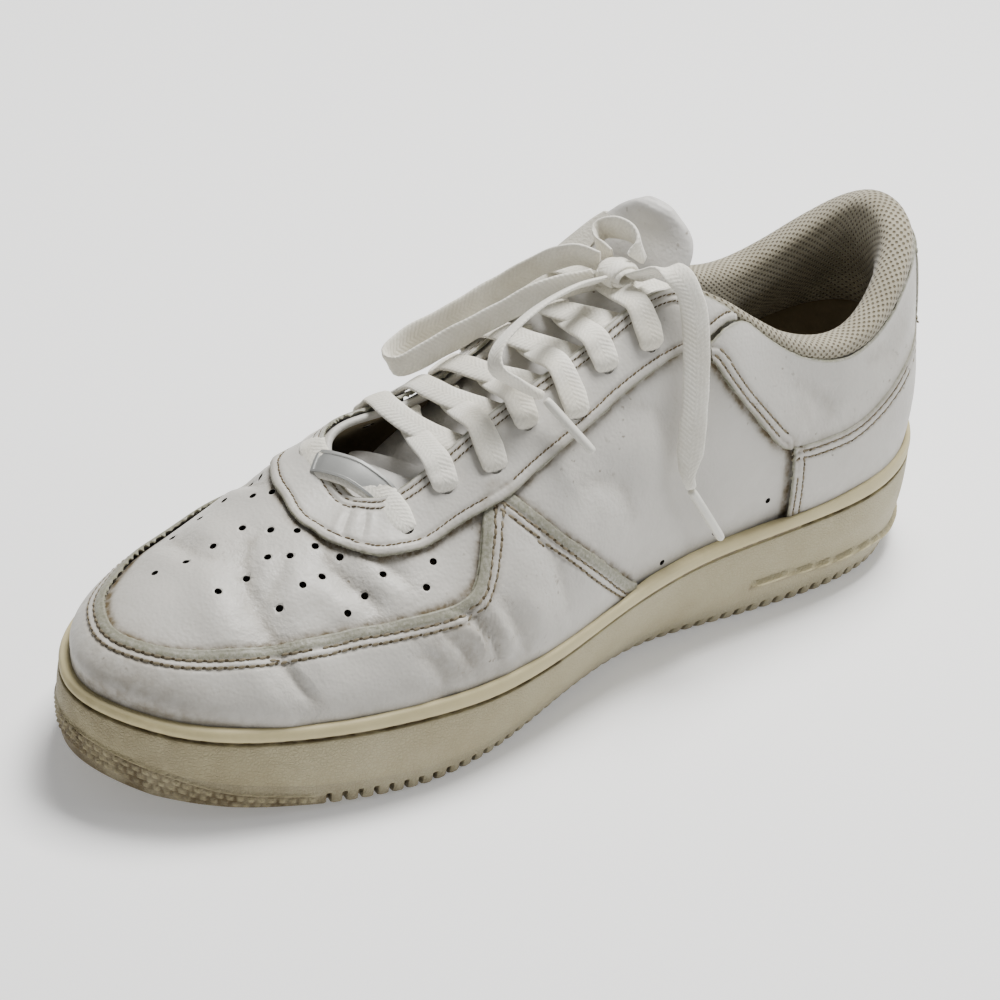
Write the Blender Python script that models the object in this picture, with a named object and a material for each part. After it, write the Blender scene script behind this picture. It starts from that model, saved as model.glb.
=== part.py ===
"""A worn low-top leather basketball sneaker for the right foot, standing on its sole.

Frame: the origin is on the floor under the middle of the shoe. The toe points to -Y and the
heel to +Y, the medial side faces +X, and +Z is up.

Shoe sizes are written in millimetres, as l (along the foot from the heel), w (towards the
medial side) and z (above the floor). place() turns them into the frame, in metres.

The shoe is laid out round its own edge. The station u is 0 at the heel and 1 at the toe,
positive on the medial side and negative on the lateral side. On the upper, s runs from 0
at the sole to 1 at the edge of the collar and throat.
"""

import math

import bmesh
import bpy
import numpy as np

# Driving dimensions, mm
ORIGIN_L = 150.45
ORIGIN_W = -0.1
GAP = 0.3
PANEL_GAP = 0.65
UPPER_WALL = 2.4
OVERLAY = 1.3
LIP = 3.5
CUP_DEPTH = 12.0
RAND_HEIGHT = 7.0
GROOVE_HEIGHT = 1.8
GROOVE_DEPTH = 1.6
SIDE_BULGE = 1.6
INSOLE_THICKNESS = 4.0
TONGUE_THICKNESS = 5.0
LACE_WIDTH = 7.5
LACE_THICKNESS = 1.4
CORD_DIAMETER = 3.4
AGLET_DIAMETER = 3.0
TOOTH_PITCH = 4.8
TOOTH_DEPTH = 1.3
TREAD_GROOVE = 3.5
TREAD_DEPTH = 2.5
TREAD_GROOVES = (36, 48, 60, 72, 160, 172, 184, 196, 208)
TREAD_REACH_BALL = 32
TREAD_REACH_HEEL = 20
PANEL_FOOT = 0.03
PANEL_HEAD = 0.985
HEEL_TAB_WIDTH = 0.085
COUNTER_GAP = 0.012
LINING_PAD = 7.0
LINING_RISE = 5.0
LINING_END = 0.4125
LACE_CLEAR = 0.4
TAG_WIDTH = 9.0
TAG_THICKNESS = 1.5

# Rows of the upper's surface, from the sole to its edge
UPPER_ROWS = (0.0, 0.08, 0.19, 0.31, 0.44, 0.57, 0.71, 0.86, 1.0)

# Outline of the sole at its top edge: u, l, w
SOLE_TOP_EDGE = (
    (0.00, 1.5, 0.0), (0.07, 7.0, 19.0), (0.15, 22.0, 33.5), (0.25, 50.0, 40.5),
    (0.37, 92.0, 41.0), (0.47, 125.0, 43.5), (0.58, 160.0, 51.0), (0.68, 193.0, 55.5),
    (0.78, 225.0, 53.0), (0.87, 258.0, 43.0), (0.94, 285.0, 27.5), (1.00, 299.0, 1.0),
    (-0.94, 284.0, -28.0), (-0.87, 257.0, -45.0), (-0.78, 223.0, -54.5),
    (-0.68, 190.0, -55.0), (-0.58, 156.0, -51.0), (-0.47, 122.0, -46.5),
    (-0.37, 90.0, -43.0), (-0.25, 50.0, -40.0), (-0.15, 22.0, -32.0), (-0.07, 7.0, -18.0),
)

# Outline of the tread, drawn in under the arch: u, l, w
TREAD_EDGE = (
    (0.00, 2.0, -1.0), (0.07, 8.0, 14.0), (0.15, 23.0, 27.5), (0.25, 50.0, 34.0),
    (0.37, 92.0, 31.5), (0.47, 122.0, 29.5), (0.58, 157.0, 38.5), (0.68, 190.0, 50.0),
    (0.78, 224.0, 52.0), (0.87, 257.0, 44.0), (0.94, 284.0, 28.0), (1.00, 299.0, 0.0),
    (-0.94, 284.0, -29.0), (-0.87, 256.0, -45.0), (-0.78, 223.0, -52.0),
    (-0.68, 190.0, -52.0), (-0.58, 156.0, -47.0), (-0.47, 122.0, -42.0),
    (-0.37, 90.0, -39.0), (-0.25, 50.0, -37.0), (-0.15, 23.0, -29.0), (-0.07, 8.0, -16.0),
)

# Heights along the foot: l, z
SOLE_TOP = ((0, 42.0), (45, 37.7), (115, 33.2), (185, 29.0), (245, 30.0), (275, 33.5), (301, 41.0))
SOLE_BOTTOM = ((0, 4.0), (14, 0.6), (30, 0.0), (212, 0.0), (245, 2.4), (270, 4.7), (288, 7.0), (301, 11.0))
OUTSOLE_BAND = ((0, 12.0), (60, 9.0), (200, 8.0), (250, 8.5), (301, 12.0))

# Edge of the collar and throat: u, l, w, z
OPENING = (
    (0.00, 6.0, -4.0, 106.0), (0.06, 9.0, 9.0, 104.0), (0.14, 22.0, 22.0, 95.0),
    (0.24, 48.0, 30.0, 84.0), (0.31, 72.0, 29.0, 92.0), (0.38, 95.0, 24.0, 111.0),
    (0.43, 108.0, 17.0, 116.5), (0.52, 135.0, 14.0, 105.0), (0.62, 165.0, 13.0, 92.0),
    (0.74, 194.0, 12.5, 76.0), (0.88, 206.0, 8.0, 70.5), (1.00, 208.5, 0.0, 70.0),
    (-0.88, 206.5, -13.5, 77.0), (-0.74, 192.0, -18.5, 80.5), (-0.62, 165.0, -14.5, 86.0),
    (-0.52, 135.0, -17.0, 99.5), (-0.43, 108.0, -23.0, 108.0), (-0.38, 95.0, -29.0, 103.0),
    (-0.31, 72.0, -31.0, 88.0), (-0.24, 48.0, -33.0, 80.0), (-0.14, 22.0, -26.0, 92.0),
    (-0.06, 9.0, -15.0, 103.0),
)

# How the upper leaves the sole: u, outwards, upwards
RISE = (
    (0.00, 6.0, 62.0), (0.14, 8.0, 58.0), (0.31, 6.0, 66.0), (0.43, 8.0, 86.0),
    (0.58, 8.0, 76.0), (0.74, 7.0, 52.0), (0.88, 9.0, 40.0), (1.00, 10.0, 40.0),
    (-0.88, 6.0, 34.0), (-0.74, 5.0, 42.0), (-0.58, 6.0, 66.0), (-0.43, 8.0, 86.0),
    (-0.31, 6.0, 66.0), (-0.14, 8.0, 58.0),
)

# How the upper comes up to its edge: u, l, w, z
ARRIVAL = (
    (0.00, 8.0, -4.0, 50.0), (0.14, 2.0, -6.0, 45.0), (0.31, -2.0, -14.0, 50.0),
    (0.38, -4.0, -34.0, 40.0), (0.43, 0.0, -40.0, 30.0), (0.58, 0.0, -46.0, 22.0),
    (0.74, -10.0, -40.0, 22.0), (0.88, -56.0, -22.0, 20.0), (1.00, -82.0, 0.0, 24.0),
    (-0.88, -50.0, 18.0, 30.0), (-0.74, -10.0, 30.0, 34.0), (-0.58, 0.0, 44.0, 24.0),
    (-0.43, 0.0, 42.0, 30.0), (-0.38, -4.0, 36.0, 40.0), (-0.31, -2.0, 12.0, 50.0),
    (-0.14, 2.0, 6.0, 45.0),
)

# Seams of one side, mirrored onto the other: u, s
TOE_PANEL_EDGE = (
    (1.000, 0.320), (0.960, 0.355), (0.920, 0.390), (0.870, 0.415), (0.820, 0.435),
    (0.770, 0.425), (0.710, 0.400), (0.700, 0.410), (0.690, 0.440), (0.682, 0.540),
    (0.675, 0.640), (0.640, 0.615), (0.626, 0.580), (0.609, 0.495), (0.589, 0.398),
    (0.548, 0.238), (0.518, 0.125), (0.492, 0.040),
)
EYESTAY_EDGE = (
    (1.00, 0.82), (0.95, 0.815), (0.88, 0.763), (0.80, 0.69), (0.74, 0.66), (0.70, 0.67),
    (0.64, 0.64), (0.60, 0.665), (0.56, 0.68), (0.51, 0.70), (0.46, 0.70), (0.418, 0.725),
    (0.400, 0.800), (0.380, 0.905), (0.368, 0.960),
)
COLLAR_PANEL_EDGE = (
    (0.00, 0.60), (0.07, 0.575), (0.15, 0.53), (0.25, 0.45), (0.325, 0.40), (0.355, 0.53),
    (0.384, 0.62), (0.405, 0.705),
)
COLLAR_PANEL_TOP = ((0.00, 0.985), (0.352, 0.985), (0.385, 0.850), (0.405, 0.755))

# Eyelets from the toe to the ankle: u, s
EYELETS = (
    (0.765, 0.775), (0.703, 0.835), (0.648, 0.770), (0.605, 0.840), (0.556, 0.755),
    (0.516, 0.835), (0.470, 0.790), (0.410, 0.900),
)
LACED_ROWS = 7

# The lowest lace, from the medial eyelet over the front of the throat to the lateral one: u, s
LACE_BAR = (
    (0.765, 0.775), (0.785, 0.850), (0.820, 0.915), (0.880, 0.955), (0.940, 0.960),
    (1.000, 0.955), (-0.950, 0.948), (-0.905, 0.935), (-0.865, 0.900), (-0.835, 0.850),
    (-0.810, 0.780),
)

# The padded roll inside the collar, from its foot to the collar's edge: s, share of its thickness
LINING_PROFILE = ((0.44, 0.1), (0.57, 0.5), (0.71, 0.9), (0.86, 1.0), (1.0, 0.7))

# Middle of the tongue from its foot to its top: l, w, z, half width, rise to the medial side,
# arch across, and how far its lateral half leans forward
TONGUE_LINE = (
    (213.0, 0.0, 60.0, 20.0, 0.02, 0.0085, 0.0), (203.0, 0.0, 62.0, 22.0, 0.03, 0.0085, 0.0),
    (190.0, 0.0, 67.5, 22.0, 0.05, 0.0085, 0.0), (172.0, 0.0, 77.5, 22.0, 0.08, 0.0085, 0.0),
    (152.0, -1.0, 88.0, 22.0, 0.10, 0.0085, 0.0), (134.0, -2.0, 95.5, 20.0, 0.12, 0.0090, 0.0),
    (121.0, -3.0, 101.5, 18.5, 0.14, 0.0095, 0.0), (113.5, -3.5, 107.0, 16.5, 0.14, 0.0080, 0.0),
    (109.0, -4.0, 113.0, 16.5, 0.14, 0.0050, 0.1), (106.0, -7.0, 119.0, 20.5, 0.18, 0.0025, 0.3),
    (104.0, -7.5, 124.5, 21.0, 0.20, 0.0030, 0.3), (102.5, -4.5, 129.5, 17.0, 0.16, 0.0040, 0.25),
    (101.5, -3.0, 133.5, 10.0, 0.10, 0.0050, 0.2),
)

# Routes of the bow and the two lace ends, picked by hand: l, w, z
LARGE_LOOP = (
    (119.7, -3.2, 119.1), (124.0, -9.5, 119.5), (130.0, -18.0, 113.5), (140.0, -24.0, 105.5),
    (155.0, -27.5, 98.5), (168.0, -29.5, 93.5), (176.5, -27.5, 90.5), (175.0, -22.5, 90.0),
    (163.0, -17.5, 97.0), (149.0, -12.0, 105.0), (136.0, -6.5, 112.0), (123.4, -0.7, 115.2),
)
SMALL_LOOP = (
    (112.7, 5.0, 122.0), (110.5, 4.0, 124.7), (109.5, -0.5, 126.5), (110.5, -7.0, 126.0),
    (113.0, -11.5, 123.5), (115.5, -9.5, 120.5), (115.0, -3.6, 118.7),
)
LONG_END = (
    (116.4, 9.6, 119.0), (114.5, 14.0, 122.0), (111.5, 19.0, 124.5), (109.5, 24.0, 122.5),
    (108.7, 28.5, 115.5), (110.0, 33.0, 104.5), (112.5, 37.5, 90.5), (115.0, 40.5, 78.5),
    (116.5, 42.0, 69.5), (115.5, 42.8, 64.5),
)
LONG_AGLET = ((115.1, 43.0, 62.8), (109.6, 44.0, 53.6), (103.6, 44.8, 43.6))
SHORT_END = (
    (124.9, 3.8, 117.6), (136.0, 5.5, 119.0), (152.0, 9.0, 118.0), (166.0, 12.5, 113.0),
    (170.0, 16.5, 108.0), (165.0, 20.5, 103.5), (159.0, 24.0, 99.5),
)
SHORT_AGLET = ((157.7, 25.0, 98.0), (154.0, 31.0, 92.0), (149.5, 37.5, 85.0))
KNOT_CENTRE = (117.5, 3.0, 117.6)
KNOT_SIZE = (13.0, 12.0, 8.0)


def place(point):
    """A point given as l, w, z in millimetres, as a point of the frame in metres."""
    l, w, z = point
    return ((w - ORIGIN_W) / 1000, (ORIGIN_L - l) / 1000, z / 1000)


def unit(vector):
    return vector / max(float(np.linalg.norm(vector)), 1e-12)


def smooth_ring(rows):
    """A smooth closed curve through rows of u and values, as a function of u."""
    rows = sorted(rows)
    keys = np.array([row[0] for row in rows], float)
    values = np.array([row[1:] for row in rows], float)
    count = len(rows)
    steps = np.diff(np.append(keys, keys[0] + 2))
    matrix = np.zeros((count, count))
    pull = np.zeros(values.shape)
    for i in range(count):
        before = (i - 1) % count
        after = (i + 1) % count
        matrix[i, before] += steps[before]
        matrix[i, i] += 2 * (steps[before] + steps[i])
        matrix[i, after] += steps[i]
        rise = (values[after] - values[i]) / steps[i]
        pull[i] = 6 * (rise - (values[i] - values[before]) / steps[before])
    bend = np.linalg.solve(matrix, pull)

    def at(u):
        u = (u - keys[0]) % 2 + keys[0]
        i = min(int(np.searchsorted(keys, u, side="right")) - 1, count - 1)
        after = (i + 1) % count
        h = steps[i]
        a = u - keys[i]
        b = h - a
        curve = (bend[i] * b**3 + bend[after] * a**3) / (6 * h)
        return curve + (values[i] / h - bend[i] * h / 6) * b + (values[after] / h - bend[after] * h / 6) * a

    return at


def along(rows):
    """Values read from rows in the order of their first number, with straight runs between."""
    rows = sorted(rows)
    keys = [row[0] for row in rows]
    columns = [[row[k] for row in rows] for k in range(1, len(rows[0]))]

    def at(x):
        read = [float(np.interp(x, keys, column)) for column in columns]
        return read[0] if len(read) == 1 else np.array(read)

    return at


def smooth_path(points, spacing):
    """Points about spacing apart on a smooth curve through the given points."""
    points = np.array(points, float)
    padded = np.vstack([2 * points[0] - points[1], points, 2 * points[-1] - points[-2]])
    fine = []
    for i in range(len(points) - 1):
        p0, p1, p2, p3 = padded[i : i + 4]
        for t in np.linspace(0, 1, 24, endpoint=False):
            bend = (2 * p0 - 5 * p1 + 4 * p2 - p3) * t**2 + (3 * p1 - p0 - 3 * p2 + p3) * t**3
            fine.append(0.5 * (2 * p1 + (p2 - p0) * t + bend))
    fine.append(points[-1])
    fine = np.array(fine)
    run = np.append(0, np.cumsum(np.linalg.norm(np.diff(fine, axis=0), axis=1)))
    marks = np.linspace(0, run[-1], max(3, round(run[-1] / spacing) + 1))
    return [np.array([np.interp(m, run, fine[:, k]) for k in range(3)]) for m in marks]


sole_top_edge = smooth_ring(SOLE_TOP_EDGE)
tread_edge = smooth_ring(TREAD_EDGE)
opening = smooth_ring(OPENING)
rise = smooth_ring(RISE)
arrival = smooth_ring(ARRIVAL)
sole_top_table = along(SOLE_TOP)
sole_bottom = along(SOLE_BOTTOM)
outsole_band = along(OUTSOLE_BAND)


def sole_top(l):
    """Height of the sole's top edge, smoothed over 24 mm."""
    return sum(sole_top_table(l + shift) for shift in (-12, -6, 0, 6, 12)) / 5


def outward(edge, u):
    """The level direction that points out of an outline at u."""
    step = 0.001
    run = unit(edge(u + step)[:2] - edge(u - step)[:2])
    return np.array([-run[1], run[0]])


def upper_point(u, s):
    """A point of the upper's outer face."""
    side = outward(sole_top_edge, u)
    foot = sole_top_edge(u) - (LIP + GAP) * side
    start = np.array([*foot, sole_top(foot[0])])
    out, up = rise(u)
    leave = np.array([*(side * out), up])
    end = opening(u)
    curve = (2 * s**3 - 3 * s**2 + 1) * start + (s**3 - 2 * s**2 + s) * leave
    return curve + (3 * s**2 - 2 * s**3) * end + (s**3 - s**2) * arrival(u)


def upper_normal(u, s):
    step = 0.002
    around = upper_point(u + step, s) - upper_point(u - step, s)
    upwards = upper_point(u, min(s + step, 1)) - upper_point(u, max(s - step, 0))
    return unit(np.cross(upwards, around))


def on_upper(u, s, height):
    """A point that far outside the upper's outer face, or inside it where height is negative."""
    return upper_point(u, s) + height * upper_normal(u, s)


def sole_wall(u, z, inset):
    """A point of the sole's side at height z, that far in from its face."""
    low = tread_edge(u)
    high = sole_top_edge(u)
    foot = sole_bottom(low[0])
    head = sole_top(high[0])
    share = min(max((z - foot) / (head - foot), 0), 1)
    lean = share**0.8
    side = outward(sole_top_edge, u)
    bulge = SIDE_BULGE * math.sin(math.pi * share)
    level = low + (high - low) * lean + side * (bulge - inset)
    return np.array([*level, z])


def material(name, colour, roughness, metallic=0.0):
    made = bpy.data.materials.new(name)
    made.use_nodes = True
    shader = made.node_tree.nodes["Principled BSDF"]
    shader.inputs["Base Color"].default_value = (*colour, 1)
    shader.inputs["Roughness"].default_value = roughness
    shader.inputs["Metallic"].default_value = metallic
    return made


def add_object(name, shell, finish):
    """An object with one closed body, its faces turned out and its round sides shaded smooth."""
    bmesh.ops.remove_doubles(shell, verts=shell.verts, dist=1e-6)
    bmesh.ops.triangulate(shell, faces=shell.faces, quad_method="SHORT_EDGE")
    bmesh.ops.recalc_face_normals(shell, faces=shell.faces)
    mesh = bpy.data.meshes.new(name)
    shell.to_mesh(mesh)
    shell.free()
    mesh.shade_smooth()
    mesh.set_sharp_from_angle(angle=math.radians(35))
    mesh.materials.append(finish)
    made = bpy.data.objects.new(name, mesh)
    bpy.context.scene.collection.objects.link(made)
    return made


def stack(name, rings, finish):
    """A body of closed rings of points, one above the other, with its first and last ring filled.

    A ring starts at the heel and goes round, so that its points pair across the foot.
    """
    shell = bmesh.new()
    rows = [[shell.verts.new(place(p)) for p in ring] for ring in rings]
    count = len(rings[0])
    for low, high in zip(rows, rows[1:]):
        for i in range(count):
            after = (i + 1) % count
            shell.faces.new((low[i], low[after], high[after], high[i]))
    for row in (rows[0], rows[-1]):
        for i in range(count // 2):
            corners = (row[i], row[i + 1], row[(count - i - 1) % count], row[(count - i) % count])
            shell.faces.new(list(dict.fromkeys(corners)))
    return add_object(name, shell, finish)


def slab(name, outer, inner, finish, closed=False):
    """A sheet with thickness between two grids of points, closed round a ring or with two ends."""
    shell = bmesh.new()
    faces = [[[shell.verts.new(place(p)) for p in row] for row in grid] for grid in (outer, inner)]
    rows = len(outer)
    columns = len(outer[0])
    for grid in faces:
        for i in range(rows if closed else rows - 1):
            after = grid[(i + 1) % rows]
            for j in range(columns - 1):
                shell.faces.new((grid[i][j], after[j], after[j + 1], grid[i][j + 1]))
    front, back = faces
    for j in (0, columns - 1):
        for i in range(rows if closed else rows - 1):
            after = (i + 1) % rows
            shell.faces.new((front[i][j], front[after][j], back[after][j], back[i][j]))
    for i in () if closed else (0, rows - 1):
        for j in range(columns - 1):
            shell.faces.new((front[i][j], front[i][j + 1], back[i][j + 1], back[i][j]))
    return add_object(name, shell, finish)


def ribbon(name, points, normals, width, thickness, finish):
    """A flat band along points, lying square to the normals."""
    points = [np.array(p, float) for p in points]
    outer = []
    inner = []
    for i, point in enumerate(points):
        run = unit(points[min(i + 1, len(points) - 1)] - points[max(i - 1, 0)])
        across = unit(np.cross(run, normals[i]))
        face = unit(np.cross(across, run))
        edge = across * width / 2
        lift = face * thickness / 2
        outer.append([point - edge + lift, point + edge + lift])
        inner.append([point - edge - lift, point + edge - lift])
    return slab(name, outer, inner, finish)


def join(first, second):
    """Two overlapping bodies made one."""
    union = first.modifiers.new("join", "BOOLEAN")
    union.operation = "UNION"
    union.solver = "EXACT"
    union.object = second
    second.hide_render = True
    second.display_type = "WIRE"
    second.name = "guide_" + second.name
    return first


def overlay(name, stations, low, high, columns, height, thickness, finish):
    """A panel on the upper between the lines low(u) and high(u), that far off its face."""
    outer = []
    inner = []
    for u in stations:
        foot = max(low(u), UPPER_ROWS[1])
        marks = np.linspace(foot, high(u), columns)
        if foot > low(u):
            marks = np.append(low(u), marks)
        inner.append([on_upper(u, s, height) for s in marks])
        outer.append([on_upper(u, s, height + thickness) for s in marks])
    return slab(name, outer, inner, finish)


def mirrored(rows):
    """The rows of one side as a function of u on both sides."""
    read = along(rows)
    return lambda u: read(abs((u + 1) % 2 - 1))


def ring_stations():
    """Places round the shoe, closer together at the heel and toe, the same on both sides."""
    heel = [0.025 * i for i in range(6)]
    side = [0.15 + 0.04375 * i for i in range(16)]
    toe = [0.85 + 0.025 * i for i in range(6)]
    medial = heel + side + toe + [1.0]
    return medial + [-u for u in medial[-2:0:-1]]


def span(first, last, corners=()):
    """Places from first to last on one side: the upper's own, the two ends and any corners."""
    between = [u for u in ring_stations() if first + 0.003 < u < last - 0.003]
    return sorted([first, last, *between, *corners])


def over_toe(side):
    """One side's places, from its first to the toe, and back along the other side."""
    return side + [2 - u for u in reversed(side[:-1])]


def over_heel(side):
    """One side's places, from its last to the heel, and on along the other side."""
    return side[::-1] + [-u for u in side[1:]]


def sole_stations():
    """Places round the tread with a notch between every two teeth, the same on both sides."""
    run = np.array([tread_edge(u) for u in np.linspace(0, 1, 401)])
    length = np.append(0, np.cumsum(np.linalg.norm(np.diff(run, axis=0), axis=1)))
    first = float(np.interp(0.10, np.linspace(0, 1, 401), length))
    last = float(np.interp(0.82, np.linspace(0, 1, 401), length))
    teeth = round((last - first) / TOOTH_PITCH)
    marks = [(float(m), 0.0) for m in np.linspace(0, first, 6, endpoint=False)]
    for i in range(teeth):
        start = first + (last - first) * i / teeth
        notch = start + TOOTH_PITCH * 0.80
        marks += [(start, 0.0), (start + TOOTH_PITCH * 0.62, 0.0), (notch, TOOTH_DEPTH)]
    marks += [(float(m), 0.0) for m in np.linspace(last, length[-1], 14)]
    medial = [(float(np.interp(m, length, np.linspace(0, 1, 401))), depth) for m, depth in marks]
    return medial + [(-u, depth) for u, depth in medial[-2:0:-1]]


def make_outsole(finish):
    """The tread: a slab with toothed sides, a rolled toe and heel, and cross grooves below."""
    rings = [[], [], []]
    for u, notch in sole_stations():
        l = tread_edge(u)[0]
        floor = sole_bottom(l)
        band = outsole_band(l)
        rings[0].append(sole_wall(u, floor, notch + 0.6))
        rings[1].append(sole_wall(u, floor + band - 1.6, notch * 0.5 - 0.4))
        rings[2].append(sole_wall(u, floor + band, 1.0))
    outsole = stack("outsole", rings, finish)
    cutters = bmesh.new()
    for l in TREAD_GROOVES:
        reach = TREAD_REACH_BALL if l > 120 else TREAD_REACH_HEEL
        made = bmesh.ops.create_cube(cutters, size=1)["verts"]
        size = (2 * reach / 1000, TREAD_GROOVE / 1000, 2 * TREAD_DEPTH / 1000)
        bmesh.ops.scale(cutters, vec=size, verts=made)
        bmesh.ops.translate(cutters, vec=place((l, 0, 0)), verts=made)
    mesh = bpy.data.meshes.new("tread_cutter")
    cutters.to_mesh(mesh)
    cutters.free()
    cutter = bpy.data.objects.new("tread_cutter", mesh)
    bpy.context.scene.collection.objects.link(cutter)
    cutter.hide_render = True
    cutter.display_type = "WIRE"
    cut = outsole.modifiers.new("tread", "BOOLEAN")
    cut.operation = "DIFFERENCE"
    cut.solver = "EXACT"
    cut.object = cutter
    return outsole


def cup_floor(l):
    """Height of the floor inside the sole's cup."""
    return sole_top(l) - CUP_DEPTH


def make_midsole(finish):
    """The sole's side wall with its stitched groove and rand, and the cup that the upper sits in."""
    rings = [[] for _ in range(12)]
    for u in ring_stations():
        low = tread_edge(u)
        high = sole_top_edge(u)
        foot = sole_bottom(low[0]) + outsole_band(low[0]) + GAP
        head = sole_top(high[0])
        groove = head - RAND_HEIGHT
        rings[0].append(sole_wall(u, foot, 1.2))
        rings[1].append(sole_wall(u, foot + 0.5, 0.2))
        rings[2].append(sole_wall(u, foot + 1.6, 0.0))
        rings[3].append(sole_wall(u, (foot + groove - GROOVE_HEIGHT) / 2, 0.0))
        rings[4].append(sole_wall(u, groove - GROOVE_HEIGHT, 0.0))
        rings[5].append(sole_wall(u, groove - GROOVE_HEIGHT * 0.8, GROOVE_DEPTH))
        rings[6].append(sole_wall(u, groove, GROOVE_DEPTH))
        rings[7].append(sole_wall(u, groove + 0.4, 0.5))
        rings[8].append(sole_wall(u, head - 1.0, 0.5))
        rings[9].append(sole_wall(u, head, 1.4))
        side = outward(sole_top_edge, u)
        inner = high - LIP * side
        rings[10].append((*inner, head))
        rings[11].append((*inner, cup_floor(inner[0])))
    return stack("midsole", rings, finish)


def make_insole(finish):
    """The footbed on the floor of the cup, inside the foot of the upper."""
    rings = [[], [], []]
    for u in ring_stations():
        side = outward(sole_top_edge, u)
        for ring, lift, inset in ((0, GAP, 0.2), (1, INSOLE_THICKNESS - 1, 0.0), (2, INSOLE_THICKNESS, 1.2)):
            level = sole_top_edge(u) - (LIP + UPPER_WALL + 2.5 * GAP + inset) * side
            rings[ring].append((*level, cup_floor(level[0]) + lift))
    return stack("insole", rings, finish)


def make_upper(finish):
    """The hollow upper, open at the collar and throat and below, with its foot down in the cup."""
    outer = []
    inner = []
    for u in ring_stations():
        side = outward(sole_top_edge, u)
        foot = upper_point(u, 0)
        low = np.array([*foot[:2], cup_floor(foot[0]) + 2 * GAP])
        wall = np.array([*(side * UPPER_WALL), 0])
        outer.append([low] + [upper_point(u, s) for s in UPPER_ROWS])
        inner.append([low - wall] + [on_upper(u, s, -UPPER_WALL) for s in UPPER_ROWS])
    return slab("upper", outer, inner, finish, closed=True)


def make_toe_panel(finish):
    """The panel round the toe, from the seam of one quarter to the other's, open over the toe box."""
    stations = over_toe(span(0.495, 1.0, (0.518, 0.611, 0.682, 0.690, 0.700)))
    edge = mirrored(TOE_PANEL_EDGE)
    return overlay("toe_panel", stations, lambda u: PANEL_FOOT, edge, 5, PANEL_GAP, OVERLAY, finish)


def make_eyestay(finish):
    """The facing round the throat that carries the eyelets."""
    stations = over_toe(span(0.37, 1.0, (0.385, 0.40, 0.418)))
    edge = mirrored(EYESTAY_EDGE)
    return overlay("eyestay", stations, edge, lambda u: PANEL_HEAD, 4, PANEL_GAP, OVERLAY, finish)


def make_collar_panel(finish):
    """The panel round the ankle, from the eyestay's seam round the heel to the other side's."""
    stations = over_heel(span(0.0, 0.405, (0.352,)))
    low = mirrored(COLLAR_PANEL_EDGE)
    high = mirrored(COLLAR_PANEL_TOP)
    return overlay("collar_panel", stations, low, high, 5, PANEL_GAP, OVERLAY, finish)


def make_heel_counter(finish):
    """The low panel round the heel, under the collar panel."""
    edge = mirrored(COLLAR_PANEL_EDGE)

    def high(u):
        return edge(u) - COUNTER_GAP

    stations = over_heel(span(0.0, 0.315))
    return overlay("heel_counter", stations, lambda u: PANEL_FOOT, high, 4, PANEL_GAP, OVERLAY, finish)


def make_heel_tab(finish):
    """The short upright tab over the back seam."""
    stations = over_heel(span(0.0, HEEL_TAB_WIDTH))
    height = 2 * PANEL_GAP + OVERLAY
    return overlay("heel_tab", stations, lambda u: 0.56, lambda u: 0.975, 5, height, OVERLAY, finish)


def make_collar_lining(finish):
    """The padded roll inside the collar, thickest behind the ankle, that stands over its edge."""
    outer = []
    inner = []
    for u in over_heel(span(0.0, LINING_END)):
        share = min(1.0, (LINING_END + 0.03 - abs(u)) / 0.12)
        back = [on_upper(u, s, -UPPER_WALL - PANEL_GAP) for s, _ in LINING_PROFILE]
        front = []
        for s, thickness in LINING_PROFILE:
            pad = 1.0 + LINING_PAD * thickness * share
            front.append(on_upper(u, s, -UPPER_WALL - PANEL_GAP - pad))
        rise_up = unit(upper_point(u, 1) - upper_point(u, 0.99)) * LINING_RISE * share
        middle = (back[-1] + front[-1]) / 2
        back.append((back[-1] * 2 + middle) / 3 + rise_up)
        front.append((front[-1] * 2 + middle) / 3 + rise_up)
        outer.append(back)
        inner.append(front)
    return slab("collar_lining", outer, inner, finish)


def tongue_point(row, across, depth):
    """A point of the tongue: across runs from -1 to 1, depth is below its outer face."""
    i = min(int(row), len(TONGUE_LINE) - 2)
    part = row - i
    here = np.array(TONGUE_LINE[i], float)
    ahead = np.array(TONGUE_LINE[i + 1], float)
    l, w, z, half, slope, arch, lean = here + (ahead - here) * part
    run = unit(np.array([ahead[0] - here[0], 0, ahead[2] - here[2]]))
    face = np.array([-run[2], 0, run[0]])
    face = face if face[2] > 0 else -face
    reach = half * across
    middle = np.array([l + lean * max(0.0, -reach), w + reach, z + slope * reach])
    return middle - face * (arch * reach**2 + depth)


def make_tongue(finish):
    """The padded tongue, from under the throat's lower end to its free top."""
    marks = (-1.0, -0.82, -0.55, -0.28, 0.0, 0.28, 0.55, 0.82, 1.0)
    outer = []
    inner = []
    for row in range(len(TONGUE_LINE)):
        outer.append([tongue_point(row, a, 1.6 if abs(a) == 1 else 0.0) for a in marks])
        inner.append([tongue_point(row, a, TONGUE_THICKNESS - (1.6 if abs(a) == 1 else 0.0)) for a in marks])
    return slab("tongue", outer, inner, finish)


def strand(row, side):
    """The way of a lace from under one edge of the throat, over the other and to its eyelet."""
    lift = PANEL_GAP + OVERLAY + LACE_CLEAR + LACE_THICKNESS / 2
    u, s = EYELETS[row]
    points = []
    normals = []
    for mark, extra in ((s, 0.0), ((s + 0.98) / 2, 0.2), (0.985, 0.9)):
        points.append(on_upper(side * u, mark, lift + extra))
        normals.append(upper_normal(side * u, mark))
    near = opening(side * u)
    far = opening(-side * EYELETS[row - 1][0])
    for share, extra in ((0.24, 1.8), (0.50, 0.6), (0.72, -1.4)):
        points.append(near + (far - near) * share + np.array([0, 0, extra]))
        normals.append(np.array([0.5, 0, 1.0]))
    return points, normals


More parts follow.
